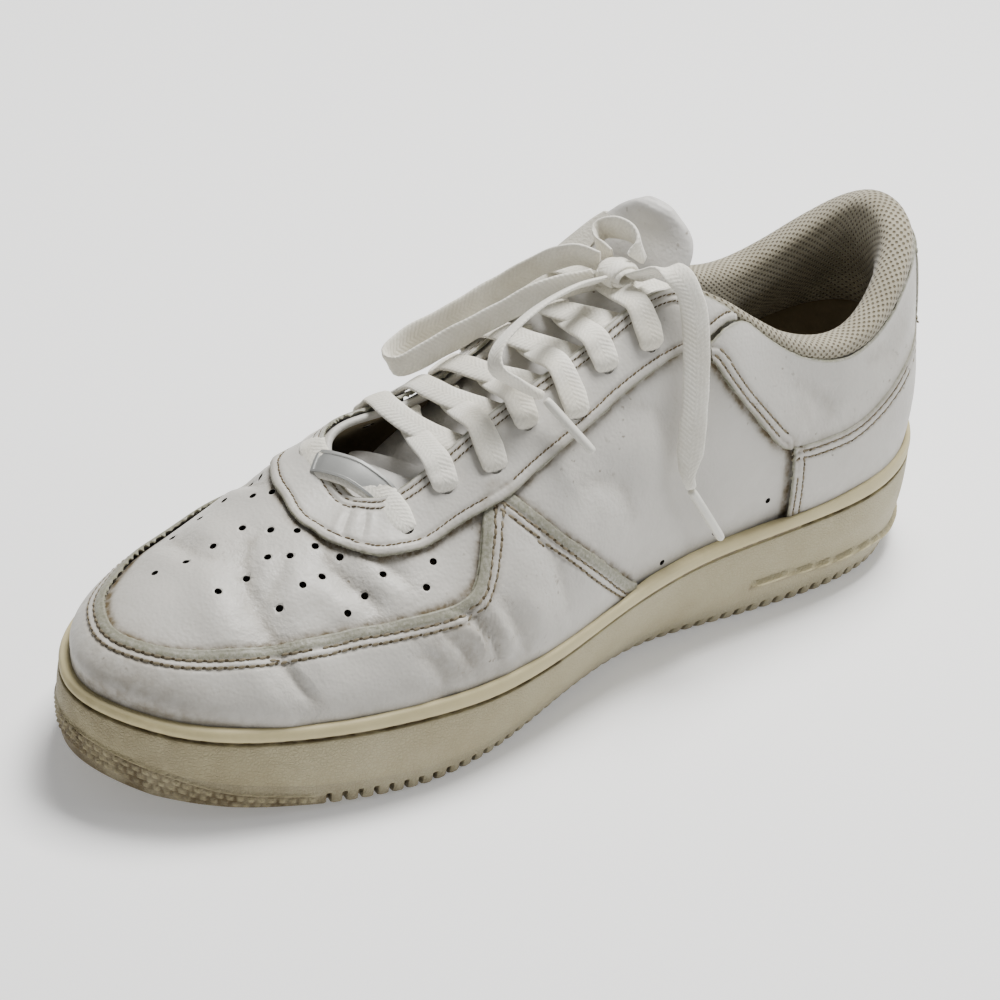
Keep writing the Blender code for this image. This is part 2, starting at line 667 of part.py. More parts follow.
def lace_bar_way(extra):
    """The way of the lowest lace, bowed forward over the front of the eyestay."""
    lift = PANEL_GAP + OVERLAY + LACE_CLEAR + LACE_THICKNESS / 2 + extra
    return [on_upper(u, s, lift) for u, s in LACE_BAR], [upper_normal(u, s) for u, s in LACE_BAR]


def make_lace_bar(finish):
    """The lowest row: one band straight across from eyelet to eyelet, under the lace tag."""
    points, normals = lace_bar_way(0)
    return ribbon("lace_bar_1", points, normals, LACE_WIDTH, LACE_THICKNESS, finish)


def make_lace_crossing(row, finish):
    """Two bands that cross over the throat, joined where they cross."""
    bands = []
    for side, lift in ((1, 0.0), (-1, 0.7)):
        points, normals = strand(row, side)
        points = [p + np.array([0, 0, lift]) * (i > 2) for i, p in enumerate(points)]
        name = f"lace_crossing_{row + 1}" if side == 1 else f"lace_band_{row + 1}"
        bands.append(ribbon(name, points, normals, LACE_WIDTH, LACE_THICKNESS, finish))
    return join(*bands)


def make_lace_tag(finish):
    """The plain curved plate that the lowest lace runs under."""
    points, normals = lace_bar_way(LACE_THICKNESS / 2 + GAP + TAG_THICKNESS / 2)
    return ribbon("lace_tag", points[3:8], normals[3:8], TAG_WIDTH, TAG_THICKNESS, finish)


def make_cord(name, route, diameter, finish):
    """A round cord through the route's points, with flat ends."""
    points = smooth_path(route, 2.5 * diameter)
    curve = bpy.data.curves.new(name, "CURVE")
    curve.dimensions = "3D"
    curve.bevel_depth = diameter / 2000
    curve.bevel_resolution = 2
    curve.use_fill_caps = True
    spline = curve.splines.new("POLY")
    spline.points.add(len(points) - 1)
    for at, point in zip(spline.points, points):
        at.co = (*place(point), 1)
    curve.materials.append(finish)
    made = bpy.data.objects.new(name, curve)
    bpy.context.scene.collection.objects.link(made)
    return made


def make_knot(finish):
    """The bow's knot: a flattened round lump."""
    shell = bmesh.new()
    bmesh.ops.create_icosphere(shell, subdivisions=2, radius=0.5)
    size = [x / 1000 for x in (KNOT_SIZE[1], KNOT_SIZE[0], KNOT_SIZE[2])]
    bmesh.ops.scale(shell, vec=size, verts=shell.verts)
    bmesh.ops.translate(shell, vec=place(KNOT_CENTRE), verts=shell.verts)
    return add_object("lace_knot", shell, finish)


def build():
    for made in list(bpy.data.objects):
        bpy.data.objects.remove(made, do_unlink=True)
    leather = material("white_leather", (0.70, 0.69, 0.66), 0.5)
    lining = material("grey_lining", (0.42, 0.39, 0.33), 0.9)
    rubber = material("aged_rubber", (0.56, 0.52, 0.42), 0.6)
    tread = material("worn_tread", (0.45, 0.41, 0.32), 0.75)
    lace = material("white_lace", (0.76, 0.76, 0.72), 0.85)
    plate = material("dull_plate", (0.62, 0.62, 0.60), 0.4, 0.6)
    make_outsole(tread)
    make_midsole(rubber)
    make_insole(lining)
    make_upper(leather)
    make_toe_panel(leather)
    make_eyestay(leather)
    make_collar_panel(leather)
    make_heel_counter(leather)
    make_heel_tab(leather)
    make_collar_lining(lining)
    make_tongue(leather)
    make_lace_bar(lace)
    for row in range(1, LACED_ROWS):
        make_lace_crossing(row, lace)
    make_lace_tag(plate)
    make_knot(lace)
    make_cord("lace_loop_large", LARGE_LOOP, CORD_DIAMETER, lace)
    make_cord("lace_loop_small", SMALL_LOOP, CORD_DIAMETER, lace)
    make_cord("lace_end_long", LONG_END, CORD_DIAMETER, lace)
    make_cord("lace_end_short", SHORT_END, CORD_DIAMETER, lace)
    make_cord("aglet_long", LONG_AGLET, AGLET_DIAMETER, plate)
    make_cord("aglet_short", SHORT_AGLET, AGLET_DIAMETER, plate)


build()
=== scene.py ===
"""The looks of a worn white leather sneaker: creased panels, stitching, laces and aged rubber.

Shoe sizes are written in millimetres, as l (along the foot from the heel), w (towards the medial
side) and z (above the floor). place() turns them into the CAD frame, in metres. The station u is
0 at the heel and 1 at the toe, positive on the medial side and negative on the lateral side, and
it goes on past 1 over the toe. On the upper, s runs from 0 at the sole to 1 at its edge.
"""

import math

import bpy
import numpy as np
from mathutils import Matrix, Vector
from mathutils.bvhtree import BVHTree


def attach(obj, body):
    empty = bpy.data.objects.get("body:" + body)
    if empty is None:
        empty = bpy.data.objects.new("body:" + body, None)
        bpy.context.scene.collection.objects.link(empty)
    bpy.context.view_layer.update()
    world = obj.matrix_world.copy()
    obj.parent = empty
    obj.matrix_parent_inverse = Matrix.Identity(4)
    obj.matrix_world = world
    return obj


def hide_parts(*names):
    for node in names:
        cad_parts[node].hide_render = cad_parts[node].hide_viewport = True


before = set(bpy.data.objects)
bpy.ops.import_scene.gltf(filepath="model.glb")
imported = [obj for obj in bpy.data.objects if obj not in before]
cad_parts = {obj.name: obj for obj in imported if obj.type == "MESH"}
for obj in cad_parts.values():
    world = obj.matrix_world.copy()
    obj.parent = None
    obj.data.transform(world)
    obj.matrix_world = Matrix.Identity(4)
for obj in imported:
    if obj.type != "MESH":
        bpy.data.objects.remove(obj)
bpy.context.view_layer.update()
bpy.ops.object.select_all(action="DESELECT")

# Driving sizes, mm
ORIGIN_L = 150.45
ORIGIN_W = -0.1
GAP = 0.3
LIP = 3.5
CUP_DEPTH = 12.0
INSOLE_THICKNESS = 2.5
SIDE_BULGE = 1.6
UPPER_WALL = 2.4
FOOT_DROP = 40.0
PANEL_THICKNESS = 1.9
LACE_WIDTH = 8.0
LACE_THICKNESS = 1.9
STITCH_PITCH = 3.0
SOLE_STITCH_PITCH = 6.0
STITCH_REACH = 6.0
TOOTH_PITCH = 4.8
TOOTH_HEIGHT = 4.7
SLOT_DEPTH = 2.4
SLOT_SHARE = 0.34
KNURL_PITCH = 3.0
KNURL_STEP = 2.4
KNURL_HEIGHT = 1.1
RIDGE_HEIGHT = 2.2
RIDGE_DEPTH = 1.5

# Camera, solved on the outline of the shoe, in metres of the frame
CAMERA_PLACE = (0.73444, -0.56845, 0.65316)
CAMERA_RIGHT = (0.58078, 0.81215, 0.05567)
CAMERA_DOWN = (0.47153, -0.27988, -0.83626)
CAMERA_FORWARD = (-0.66359, 0.51193, -0.54550)
CAMERA_LENS = 133.51
CAMERA_SENSOR = 36.0
CAMERA_SHIFT = (-0.0014, -0.0041)

# Outline of the sole at its top edge: u, l, w
SOLE_TOP_EDGE = (
    (0.00, 1.5, 0.0), (0.07, 7.0, 19.0), (0.15, 22.0, 33.5), (0.25, 50.0, 40.5),
    (0.37, 92.0, 41.0), (0.47, 125.0, 43.5), (0.58, 160.0, 51.0), (0.68, 193.0, 55.5),
    (0.78, 225.0, 53.0), (0.87, 258.0, 43.0), (0.94, 285.0, 27.5), (1.00, 299.0, 1.0),
    (-0.94, 284.0, -28.0), (-0.87, 257.0, -45.0), (-0.78, 223.0, -54.5),
    (-0.68, 190.0, -55.0), (-0.58, 156.0, -51.0), (-0.47, 122.0, -46.5),
    (-0.37, 90.0, -43.0), (-0.25, 50.0, -40.0), (-0.15, 22.0, -32.0), (-0.07, 7.0, -18.0),
)

# Outline of the tread, drawn in under the arch: u, l, w
TREAD_EDGE = (
    (0.00, 2.0, -1.0), (0.07, 8.0, 14.0), (0.15, 23.0, 27.5), (0.25, 50.0, 34.0),
    (0.37, 92.0, 31.5), (0.47, 122.0, 29.5), (0.58, 157.0, 38.5), (0.68, 190.0, 50.0),
    (0.78, 224.0, 52.0), (0.87, 257.0, 44.0), (0.94, 284.0, 28.0), (1.00, 299.0, 0.0),
    (-0.94, 284.0, -29.0), (-0.87, 256.0, -45.0), (-0.78, 223.0, -52.0),
    (-0.68, 190.0, -52.0), (-0.58, 156.0, -47.0), (-0.47, 122.0, -42.0),
    (-0.37, 90.0, -39.0), (-0.25, 50.0, -37.0), (-0.15, 23.0, -29.0), (-0.07, 8.0, -16.0),
)

# Heights along the foot: l, z
SOLE_TOP = ((0, 42.0), (45, 37.7), (115, 33.2), (185, 29.0), (245, 30.0), (275, 33.5), (301, 41.0))
SOLE_BOTTOM = (
    (0, 4.0), (14, 0.6), (30, 0.0), (212, 0.0), (245, 2.4), (270, 4.7), (288, 7.0), (301, 11.0),
)
OUTSOLE_BAND = ((0, 12.0), (60, 9.0), (200, 8.0), (250, 8.5), (301, 12.0))

# The rand on one side, both sides alike: u, how far its top is above the cup's edge, and how far the
# stitched groove is under that edge
RAND = (
    (0.00, 0.0, 5.3), (0.20, 0.9, 5.2), (0.30, 0.8, 3.2), (0.41, 2.8, 1.4), (0.52, 2.1, 2.3),
    (0.60, 1.1, 4.0), (0.67, 0.9, 4.3), (0.76, 1.0, 3.6), (0.83, 0.0, 3.9), (0.90, -1.2, 5.3),
    (0.95, -3.3, 7.0), (1.00, -3.5, 7.0),
)
# The stitched groove's section: height over its middle, how far in, and its darkening, painted shade
# with grime
GROOVE_PROFILE = (
    (-0.66, 0.05, 0.5), (-0.54, 0.25, 0.7), (-0.45, 0.75, 0.9), (-0.30, 1.05, 1.0),
    (0.25, 1.1, 1.0), (0.40, 0.8, 0.9), (0.50, 0.3, 0.5), (0.62, 0.05, 0.25),
)
# How wide the rand's ledge is: narrow where a panel comes down inside it
LEDGE = (
    (0.00, 1.7), (0.30, 1.7), (0.33, 3.4), (0.48, 3.4), (0.51, 1.7), (0.88, 2.0), (0.94, 2.8),
    (1.00, 3.0),
)
# Where the sole's teeth start, and where the toe's knurled bumper takes their place
TEETH_START = 0.10
BUMPER_START = 0.842
# The line over the bumper, above the sole's foot: u, mm
BUMPER_LINE = (
    (0.837, 4.2), (0.887, 5.8), (0.908, 6.8), (0.922, 8.2), (0.935, 9.7), (0.947, 11.2),
    (0.972, 12.1), (1.000, 12.8),
)
# The moulded ridge round the heel: u, z
HEEL_RIDGE = (
    (0.000, 9.0), (0.144, 10.0), (0.192, 12.4), (0.228, 13.1), (0.256, 13.3), (0.306, 15.4),
)
RIDGE_END = 0.346

# Grooves across the tread: l, and their size
TREAD_GROOVES = (36, 48, 60, 72, 160, 172, 184, 196, 208)
TREAD_GROOVE = 3.5
TREAD_DEPTH = 2.5

# Rows of points up the upper's outer face, and the shares of the turn round its rolled edge
OUTER_ROWS = 78
ROLL_TURNS = (0.25, 0.5, 0.75)

# Edge of the collar and throat: u, l, w, z
OPENING = (
    (0.00, 6.0, -4.0, 106.0), (0.06, 9.0, 9.0, 104.0), (0.14, 22.0, 22.0, 95.0),
    (0.24, 48.0, 30.0, 84.0), (0.31, 72.0, 29.0, 92.0), (0.38, 95.0, 24.0, 111.0),
    (0.43, 108.0, 17.0, 116.5), (0.52, 135.0, 14.0, 105.0), (0.62, 165.0, 13.0, 92.0),
    (0.74, 194.0, 12.5, 76.0), (0.88, 206.0, 8.0, 70.5), (1.00, 208.5, 0.0, 70.0),
    (-0.88, 206.5, -13.5, 77.0), (-0.74, 192.0, -18.5, 80.5), (-0.62, 165.0, -14.5, 86.0),
    (-0.52, 135.0, -17.0, 99.5), (-0.43, 108.0, -23.0, 108.0), (-0.38, 95.0, -29.0, 103.0),
    (-0.31, 72.0, -31.0, 88.0), (-0.24, 48.0, -33.0, 80.0), (-0.14, 22.0, -26.0, 92.0),
    (-0.06, 9.0, -15.0, 103.0),
)

# How the upper leaves the sole: u, outwards, upwards
RISE = (
    (0.00, 6.0, 62.0), (0.14, 8.0, 58.0), (0.31, 6.0, 66.0), (0.43, 8.0, 86.0),
    (0.58, 8.0, 76.0), (0.74, 7.0, 52.0), (0.88, 9.0, 40.0), (1.00, 10.0, 40.0),
    (-0.88, 6.0, 34.0), (-0.74, 5.0, 42.0), (-0.58, 6.0, 66.0), (-0.43, 8.0, 86.0),
    (-0.31, 6.0, 66.0), (-0.14, 8.0, 58.0),
)

# How the upper comes up to its edge: u, l, w, z
ARRIVAL = (
    (0.00, 8.0, -4.0, 50.0), (0.14, 2.0, -6.0, 45.0), (0.31, -2.0, -14.0, 50.0),
    (0.38, -4.0, -34.0, 40.0), (0.43, 0.0, -40.0, 30.0), (0.58, 0.0, -46.0, 22.0),
    (0.74, -10.0, -40.0, 22.0), (0.88, -56.0, -22.0, 20.0), (1.00, -82.0, 0.0, 24.0),
    (-0.88, -50.0, 18.0, 30.0), (-0.74, -10.0, 30.0, 34.0), (-0.58, 0.0, 44.0, 24.0),
    (-0.43, 0.0, 42.0, 30.0), (-0.38, -4.0, 36.0, 40.0), (-0.31, -2.0, 12.0, 50.0),
    (-0.14, 2.0, 6.0, 45.0),
)

# How far up the bare upper goes: u, s, lower where the lining rolls over it
UPPER_END = ((0.00, 0.955), (0.37, 0.955), (0.42, 1.0), (1.00, 1.0))

# Seams of one side, mirrored onto the other: u, s
TOE_PANEL_EDGE = (
    (1.000, 0.268), (0.960, 0.305), (0.920, 0.365), (0.870, 0.410), (0.820, 0.435),
    (0.770, 0.425), (0.715, 0.400), (0.697, 0.415), (0.687, 0.450), (0.681, 0.540),
    (0.673, 0.640), (0.666, 0.720), (0.650, 0.725), (0.640, 0.660), (0.626, 0.580),
    (0.609, 0.495), (0.589, 0.398),
    (0.548, 0.238), (0.518, 0.125), (0.492, 0.040),
)
# How much lower the toe panel's edge runs on the other side: u, s
OTHER_SIDE_DROP = (
    (1.00, 0.0), (1.05, 0.035), (1.12, 0.075), (1.25, 0.085), (1.33, 0.03), (1.37, 0.0),
)
EYESTAY_EDGE = (
    (1.00, 0.82), (0.95, 0.815), (0.88, 0.763), (0.80, 0.69), (0.74, 0.66), (0.70, 0.67),
    (0.64, 0.64), (0.60, 0.665), (0.56, 0.68), (0.51, 0.70), (0.46, 0.70), (0.418, 0.725),
    (0.400, 0.800), (0.380, 0.905), (0.368, 0.960),
)
COLLAR_PANEL_EDGE = (
    (0.00, 0.60), (0.07, 0.575), (0.15, 0.53), (0.25, 0.45), (0.325, 0.40), (0.355, 0.53),
    (0.384, 0.62), (0.405, 0.705),
)
COLLAR_PANEL_TOP = (
    (0.00, 0.985), (0.358, 0.985), (0.368, 0.945), (0.380, 0.888), (0.400, 0.785), (0.405, 0.757),
)

# Where each panel ends, as u on both sides, and the share of the upper that it starts or stops at
TOE_PANEL_END = 0.493
EYESTAY_END = 0.369
THROAT_SEWN_END = 0.425
COLLAR_PANEL_END = 0.404
COLLAR_SEWN_END = 0.326
COUNTER_END = 0.315
COUNTER_RISE = 0.012
TAB_END = 0.085
TAB_FOOT = 0.555
TAB_TOP = 0.975
PANEL_FOOT = -0.1
THROAT_RIM = 0.992
# Where the toe panel's corner runs under the eyestay, as u on both sides
PANEL_CORNER = 0.657
# How far the panels that lie over others stand off the upper, mm
COLLAR_PANEL_LIFT = 0.3
COUNTER_LIFT = 0.5
TAB_LIFT = 0.8
# Rows of stitches, mm in from a panel's edge, and how wide the toe panel's raw edge shows
TOE_ROWS = (3.7, 5.9)
EYESTAY_ROW = (3.0,)
THROAT_ROWS = (2.0, 4.3)
DOUBLE_ROW = (2.0, 4.4)
TAB_ROW = (2.0,)
RAW_MARGIN = 3.5

# Eyelets from the toe to the ankle: u, s
EYELETS = (
    (0.765, 0.775), (0.703, 0.835), (0.648, 0.770), (0.605, 0.840), (0.556, 0.755),
    (0.516, 0.835), (0.470, 0.790), (0.410, 0.900),
)
LACED_ROWS = 7

# Holes punched through the toe box, and the vents over the arch: u, s
TOE_HOLES = (
    (-0.965, 0.443), (-0.971, 0.532), (-0.968, 0.608), (-0.961, 0.690), (0.968, 0.690),
    (0.966, 0.615), (0.969, 0.532), (0.907, 0.527), (0.897, 0.608),
    (0.944, 0.715), (-0.991, 0.755), (-0.907, 0.713), (-0.828, 0.585), (-0.844, 0.667),
    (-0.921, 0.780), (0.976, 0.800), (0.923, 0.768), (0.880, 0.647), (0.869, 0.725),
    (0.834, 0.495), (0.818, 0.562), (0.799, 0.623), (0.746, 0.515), (0.735, 0.600),
    (-0.875, 0.583), (-0.894, 0.525), (-0.900, 0.432), (-0.799, 0.623), (-0.746, 0.515),
    (-0.735, 0.600), (-0.818, 0.500),
)
VENTS = ((0.456, 0.052), (0.393, 0.070), (0.335, 0.130))
# The round cuts: how wide, and from how far in to how far out of the upper's face, mm
HOLE_CUT = (2.2, -4.0, 3.0)
VENT_CUT = (1.9, -1.6, 3.0)
EYELET_CUT = (4.2, -4.0, 4.0)

# Creases and soft hollows of the worn leather, each a path of u, s, then width, depth in mm
CREASES = (
    (((1.011, 0.698), (0.960, 0.600), (0.915, 0.480), (0.893, 0.413)), 8.0, 2.6),
    (((0.893, 0.400), (0.870, 0.260), (0.841, 0.110)), 6.5, 1.7),
    (((0.880, 0.330), (0.862, 0.230), (0.846, 0.130)), 2.0, 0.8),
    (((0.892, 0.730), (0.850, 0.640), (0.812, 0.540), (0.800, 0.460)), 6.0, 2.4),
    (((0.840, 0.740), (0.790, 0.640), (0.762, 0.540)), 5.0, 1.5),
    (((0.950, 0.720), (0.930, 0.620), (0.925, 0.540)), 4.5, 1.1),
    (((0.720, 0.390), (0.696, 0.318), (0.678, 0.200), (0.668, 0.080)), 3.0, 2.0),
    (((0.705, 0.330), (0.690, 0.250), (0.686, 0.170)), 1.3, 1.1),
    (((0.735, 0.330), (0.712, 0.210), (0.700, 0.110)), 3.5, 1.3),
    (((0.760, 0.300), (0.735, 0.160), (0.728, 0.060)), 5.0, 1.1),
    (((0.665, 0.330), (0.650, 0.210), (0.640, 0.090)), 5.0, 1.5),
    (((0.625, 0.520), (0.600, 0.330), (0.590, 0.150)), 7.0, 1.2),
    (((1.015, 0.600), (1.060, 0.520), (1.100, 0.430)), 6.0, 1.6),
    (((1.120, 0.720), (1.160, 0.620), (1.190, 0.520)), 5.0, 1.8),
    (((1.200, 0.640), (1.235, 0.540), (1.250, 0.460)), 5.0, 1.5),
    (((1.290, 0.380), (1.315, 0.250), (1.325, 0.090)), 4.0, 1.8),
    (((1.345, 0.330), (1.360, 0.200)), 4.0, 1.2),
    (((0.905, 0.930), (0.893, 0.860), (0.880, 0.790)), 1.6, 0.9),
    (((0.855, 0.920), (0.845, 0.850), (0.842, 0.780)), 1.4, 0.6),
    (((0.560, 0.520), (0.520, 0.430), (0.500, 0.300)), 8.0, 1.3),
    (((0.500, 0.640), (0.470, 0.560), (0.455, 0.420)), 7.0, 1.0),
    (((0.300, 0.800), (0.270, 0.700), (0.265, 0.600)), 9.0, 1.5),
    (((0.210, 0.860), (0.180, 0.760), (0.170, 0.660)), 10.0, 1.1),
    (((-0.300, 0.800), (-0.270, 0.700), (-0.265, 0.600)), 9.0, 1.3),
    (((-0.560, 0.520), (-0.520, 0.430), (-0.500, 0.300)), 8.0, 1.2),
)

# Slack of the worn leather: wavelengths along l, w and z as 1 / radians in mm, and height in mm
SLACK_WAVES = (
    ((5.1, 7.7, 9.1), 0.10), ((8.3, -5.9, 12.7), 0.12), ((-4.3, 11.3, 6.1), 0.07),
    ((12.1, 9.7, -7.3), 0.16),
)

# Stains of the leather: u, s, radius in mm, strength
STAINS = (
    (0.690, 0.260, 16.0, 0.55), (0.720, 0.200, 12.0, 0.45), (0.985, 0.120, 14.0, 0.5),
    (0.960, 0.090, 10.0, 0.5), (0.930, 0.080, 9.0, 0.4), (0.300, 0.560, 9.0, 0.35),
    (0.150, 0.800, 6.0, 0.35), (0.195, 0.840, 5.0, 0.25), (1.080, 0.120, 14.0, 0.5),
    (-0.690, 0.200, 15.0, 0.5), (-0.080, 0.300, 14.0, 0.3), (-0.400, 0.150, 16.0, 0.3),
)

# The padded roll inside the collar: s, share of its thickness
LINING_PROFILE = ((0.44, 0.1), (0.57, 0.5), (0.71, 0.9), (0.86, 1.0), (1.0, 0.75))
LINING_PAD = 7.0
LINING_RISE = 5.0
LINING_END = 0.4125

# The tongue from its foot to its top: its lateral edge, its middle and its medial edge, each l, w, z
TONGUE_ROWS = (
    ((214.0, -19.0, 60.0), (214.0, 0.0, 62.0), (213.0, 19.0, 59.0)),
    ((206.0, -20.0, 63.0), (205.0, 0.0, 66.0), (202.0, 20.0, 63.5)),
    ((199.5, -17.5, 68.5), (195.0, -4.0, 71.5), (190.0, 16.0, 71.0)),
    ((193.0, -20.0, 63.5), (187.0, -1.0, 66.0), (181.0, 19.0, 72.0)),
    ((180.0, -22.0, 68.5), (175.0, 0.0, 74.0), (170.0, 21.0, 77.0)),
    ((160.0, -22.0, 80.0), (157.0, 0.0, 85.0), (154.0, 21.0, 85.5)),
    ((148.0, -23.5, 90.0), (144.0, -1.0, 91.0), (142.0, 20.0, 91.5)),
    ((140.0, -27.0, 97.5), (134.0, -2.0, 95.5), (133.0, 18.0, 95.5)),
    ((133.0, -26.5, 102.5), (127.0, -2.5, 99.0), (126.0, 16.5, 99.5)),
    ((126.0, -26.0, 107.5), (121.0, -3.0, 102.5), (119.0, 15.5, 103.0)),
    ((119.0, -25.0, 112.5), (115.5, -3.5, 107.5), (112.0, 14.5, 108.0)),
    ((113.0, -23.5, 117.2), (110.5, -4.0, 113.0), (106.0, 14.0, 113.5)),
    ((108.2, -21.8, 121.2), (107.0, -4.5, 119.5), (101.5, 13.5, 118.8)),
    ((105.2, -19.0, 124.7), (104.0, -4.5, 125.5), (98.5, 11.8, 123.2)),
    ((103.8, -15.0, 128.6), (102.6, -4.0, 129.8), (97.6, 9.0, 127.2)),
    ((103.0, -10.0, 131.8), (101.9, -3.5, 132.5), (98.8, 5.0, 130.6)),
    ((102.4, -5.5, 133.2), (101.6, -2.5, 133.4), (100.2, 1.5, 132.8)),
)
TONGUE_THICKNESS = 4.6
BINDING_WIDTH = 6.5
BINDING_THICKNESS = 0.7

# The lowest lace between its eyelets, over the front of the throat: l, w, z
LOWEST_LACE = (
    (203.6, 15.5, 71.6), (203.2, 10.0, 72.4), (205.0, 5.0, 74.2), (207.2, 0.0, 75.2),
    (209.3, -4.5, 75.2), (211.0, -9.0, 74.7), (210.6, -14.0, 75.8), (208.6, -18.5, 76.4),
)
# Middle line of the plate on it, and its size across and in thickness
PLATE_LINE = (
    (202.6, 11.5, 72.6), (203.6, 8.0, 74.4), (207.0, 0.5, 77.0), (210.6, -7.5, 76.6),
    (212.4, -11.5, 75.3),
)
PLATE_WIDTH = 7.4
PLATE_THICKNESS = 0.9
# The way the front of the throat faces, the way the lacing faces and the way the tongue faces
THROAT_FACE = (0.56, 0.0, 0.83)
LACING_FACE = (0.45, 0.0, 1.0)
TONGUE_FACE = (0.6, 0.0, 0.8)

# Routes of the bow and the two lace ends, as the CAD part has them: l, w, z
LARGE_LOOP = (
    (119.7, -3.2, 119.1), (124.0, -9.5, 119.5), (130.0, -18.0, 113.5), (140.0, -24.0, 105.5),
    (155.0, -27.5, 98.5), (168.0, -29.5, 93.5), (176.5, -27.5, 90.5), (175.0, -22.5, 90.0),
    (163.0, -17.5, 97.0), (149.0, -12.0, 105.0), (136.0, -6.5, 112.0), (123.4, -0.7, 115.2),
)
SMALL_LOOP = (
    (112.7, 5.0, 122.0), (110.5, 4.0, 124.7), (109.5, -0.5, 126.5), (110.5, -7.0, 126.0),
    (113.0, -11.5, 123.5), (115.5, -9.5, 120.5), (115.0, -3.6, 118.7),
)
LONG_END = (
    (116.4, 9.6, 119.0), (114.5, 14.0, 122.0), (111.5, 19.0, 124.5), (109.5, 24.0, 122.5),
    (108.7, 28.5, 115.5), (110.0, 33.0, 104.5), (112.5, 37.5, 90.5), (115.0, 40.5, 78.5),
    (116.5, 42.0, 69.5), (115.5, 42.8, 64.5),
)
LONG_AGLET = ((115.1, 43.0, 62.8), (109.6, 44.0, 53.6), (103.6, 44.8, 43.6))
SHORT_END = (
    (124.9, 3.8, 117.6), (136.0, 5.5, 119.0), (152.0, 9.0, 118.0), (166.0, 12.5, 113.0),
    (170.0, 16.5, 108.0), (165.0, 20.5, 103.5), (159.0, 24.0, 99.5),
)
SHORT_AGLET = ((157.7, 25.0, 98.0), (154.0, 31.0, 92.0), (149.5, 37.5, 85.0))
KNOT_CENTRE = (117.5, 3.0, 117.6)

# A crossing lace over the throat: share of the way across, height over the throat's edges
LACE_ARCH = ((0.22, 2.4), (0.45, 1.0), (0.68, -0.4), (0.86, -1.6))
# How much higher the upper one of two crossing laces lies
CROSSING_LIFT = 2.3

# Studio: each light's name, place, size in metres, power in watts and colour, and what glows
LIGHTS = (
    ("overhead", (-0.15, 0.40, 1.25), 0.55, 35.0, (1.0, 0.99, 0.97)),
    ("window", (0.95, 0.95, 0.75), 0.6, 4.5, (0.96, 0.98, 1.0)),
)
LIGHT_TARGET = (0, 0, 0.05)
FLOOR_GLOW = 0.22
ROOM_GLOW = 0.26


# Shapes of the shoe
def place(points):
    """Points given as l, w, z in millimetres, as points of the frame in metres."""
    points = np.asarray(points, float)
    return np.stack([points[..., 1] - ORIGIN_W, ORIGIN_L - points[..., 0], points[..., 2]], -1) / 1000


def unit(vectors):
    return vectors / np.maximum(np.linalg.norm(vectors, axis=-1, keepdims=True), 1e-12)


def run_length(path):
    """The run along a path to each of its points."""
    return np.append(0, np.cumsum(np.linalg.norm(np.diff(path, axis=0), axis=1)))


def from_heel(u):
    """A station counted from the heel, 0 to 1, alike on both sides."""
    return np.abs((u + 1) % 2 - 1)


def swell(gap, width):
    """1 where the gap is nothing, and almost nothing at twice that width."""
    return np.exp(-((gap / width) ** 2))


def squared_off(wave, power):
    """A sine or cosine filled out towards a square, or drawn in, by its power."""
    return np.sign(wave) * np.abs(wave) ** power


def smooth_ring(rows):
    """A smooth closed curve through rows of u and values, as a function of u."""
    rows = sorted(rows)
    keys = np.array([row[0] for row in rows], float)
    values = np.array([row[1:] for row in rows], float)
    count = len(rows)
    steps = np.diff(np.append(keys, keys[0] + 2))
    matrix = np.zeros((count, count))
    pull = np.zeros(values.shape)
    for i in range(count):
        before = (i - 1) % count
        after = (i + 1) % count
        matrix[i, before] += steps[before]
        matrix[i, i] += 2 * (steps[before] + steps[i])
        matrix[i, after] += steps[i]
        climb = (values[after] - values[i]) / steps[i]
        pull[i] = 6 * (climb - (values[i] - values[before]) / steps[before])
    bend = np.linalg.solve(matrix, pull)

    def at(u):
        u = (np.asarray(u, float) - keys[0]) % 2 + keys[0]
        i = np.clip(np.searchsorted(keys, u, side="right") - 1, 0, count - 1)
        after = (i + 1) % count
        h = steps[i][..., None]
        a = (u - keys[i])[..., None]
        b = h - a
        curve = (bend[i] * b**3 + bend[after] * a**3) / (6 * h)
        curve = curve + (values[i] / h - bend[i] * h / 6) * b
        return curve + (values[after] / h - bend[after] * h / 6) * a

    return at


def along(rows):
    """Values read from rows in the order of their first number, with straight runs between."""
    rows = sorted(rows)
    keys = [row[0] for row in rows]
    columns = [[row[k] for row in rows] for k in range(1, len(rows[0]))]

    def at(x):
        read = [np.interp(x, keys, column) for column in columns]
        return read[0] if len(read) == 1 else np.stack(read, -1)

    return at


def mirrored(rows, reach=0.0):
    """The rows of one side as a function of u on both sides, averaged over that reach each way."""
    read = along(rows)

    def at(u):
        u = np.asarray(u, float)
        return sum(read(from_heel(u + reach * k)) for k in (-1, -0.5, 0, 0.5, 1)) / 5

    return at


def spline(before, start, end, after, t):
    """Points at the shares t of a smooth curve from start to end."""
    bend = (2 * before - 5 * start + 4 * end - after) * t**2
    bend = bend + (3 * start - before - 3 * end + after) * t**3
    return 0.5 * (2 * start + (end - before) * t + bend)


def smooth_path(points, spacing):
    """Points about spacing apart on a smooth curve through the given points."""
    points = np.array(points, float)
    padded = np.vstack([2 * points[0] - points[1], points, 2 * points[-1] - points[-2]])
    fine = []
    for i in range(len(points) - 1):
        for t in np.linspace(0, 1, 24, endpoint=False):
            fine.append(spline(*padded[i : i + 4], t))
    fine.append(points[-1])
    return evenly(np.array(fine), spacing)


def evenly(points, spacing):
    """Points about spacing apart along a run, whose length is that of their first three numbers."""
    run = run_length(points[:, :3])
    marks = np.linspace(0, run[-1], max(3, round(run[-1] / spacing) + 1))
    return np.stack([np.interp(marks, run, column) for column in points.T], -1)


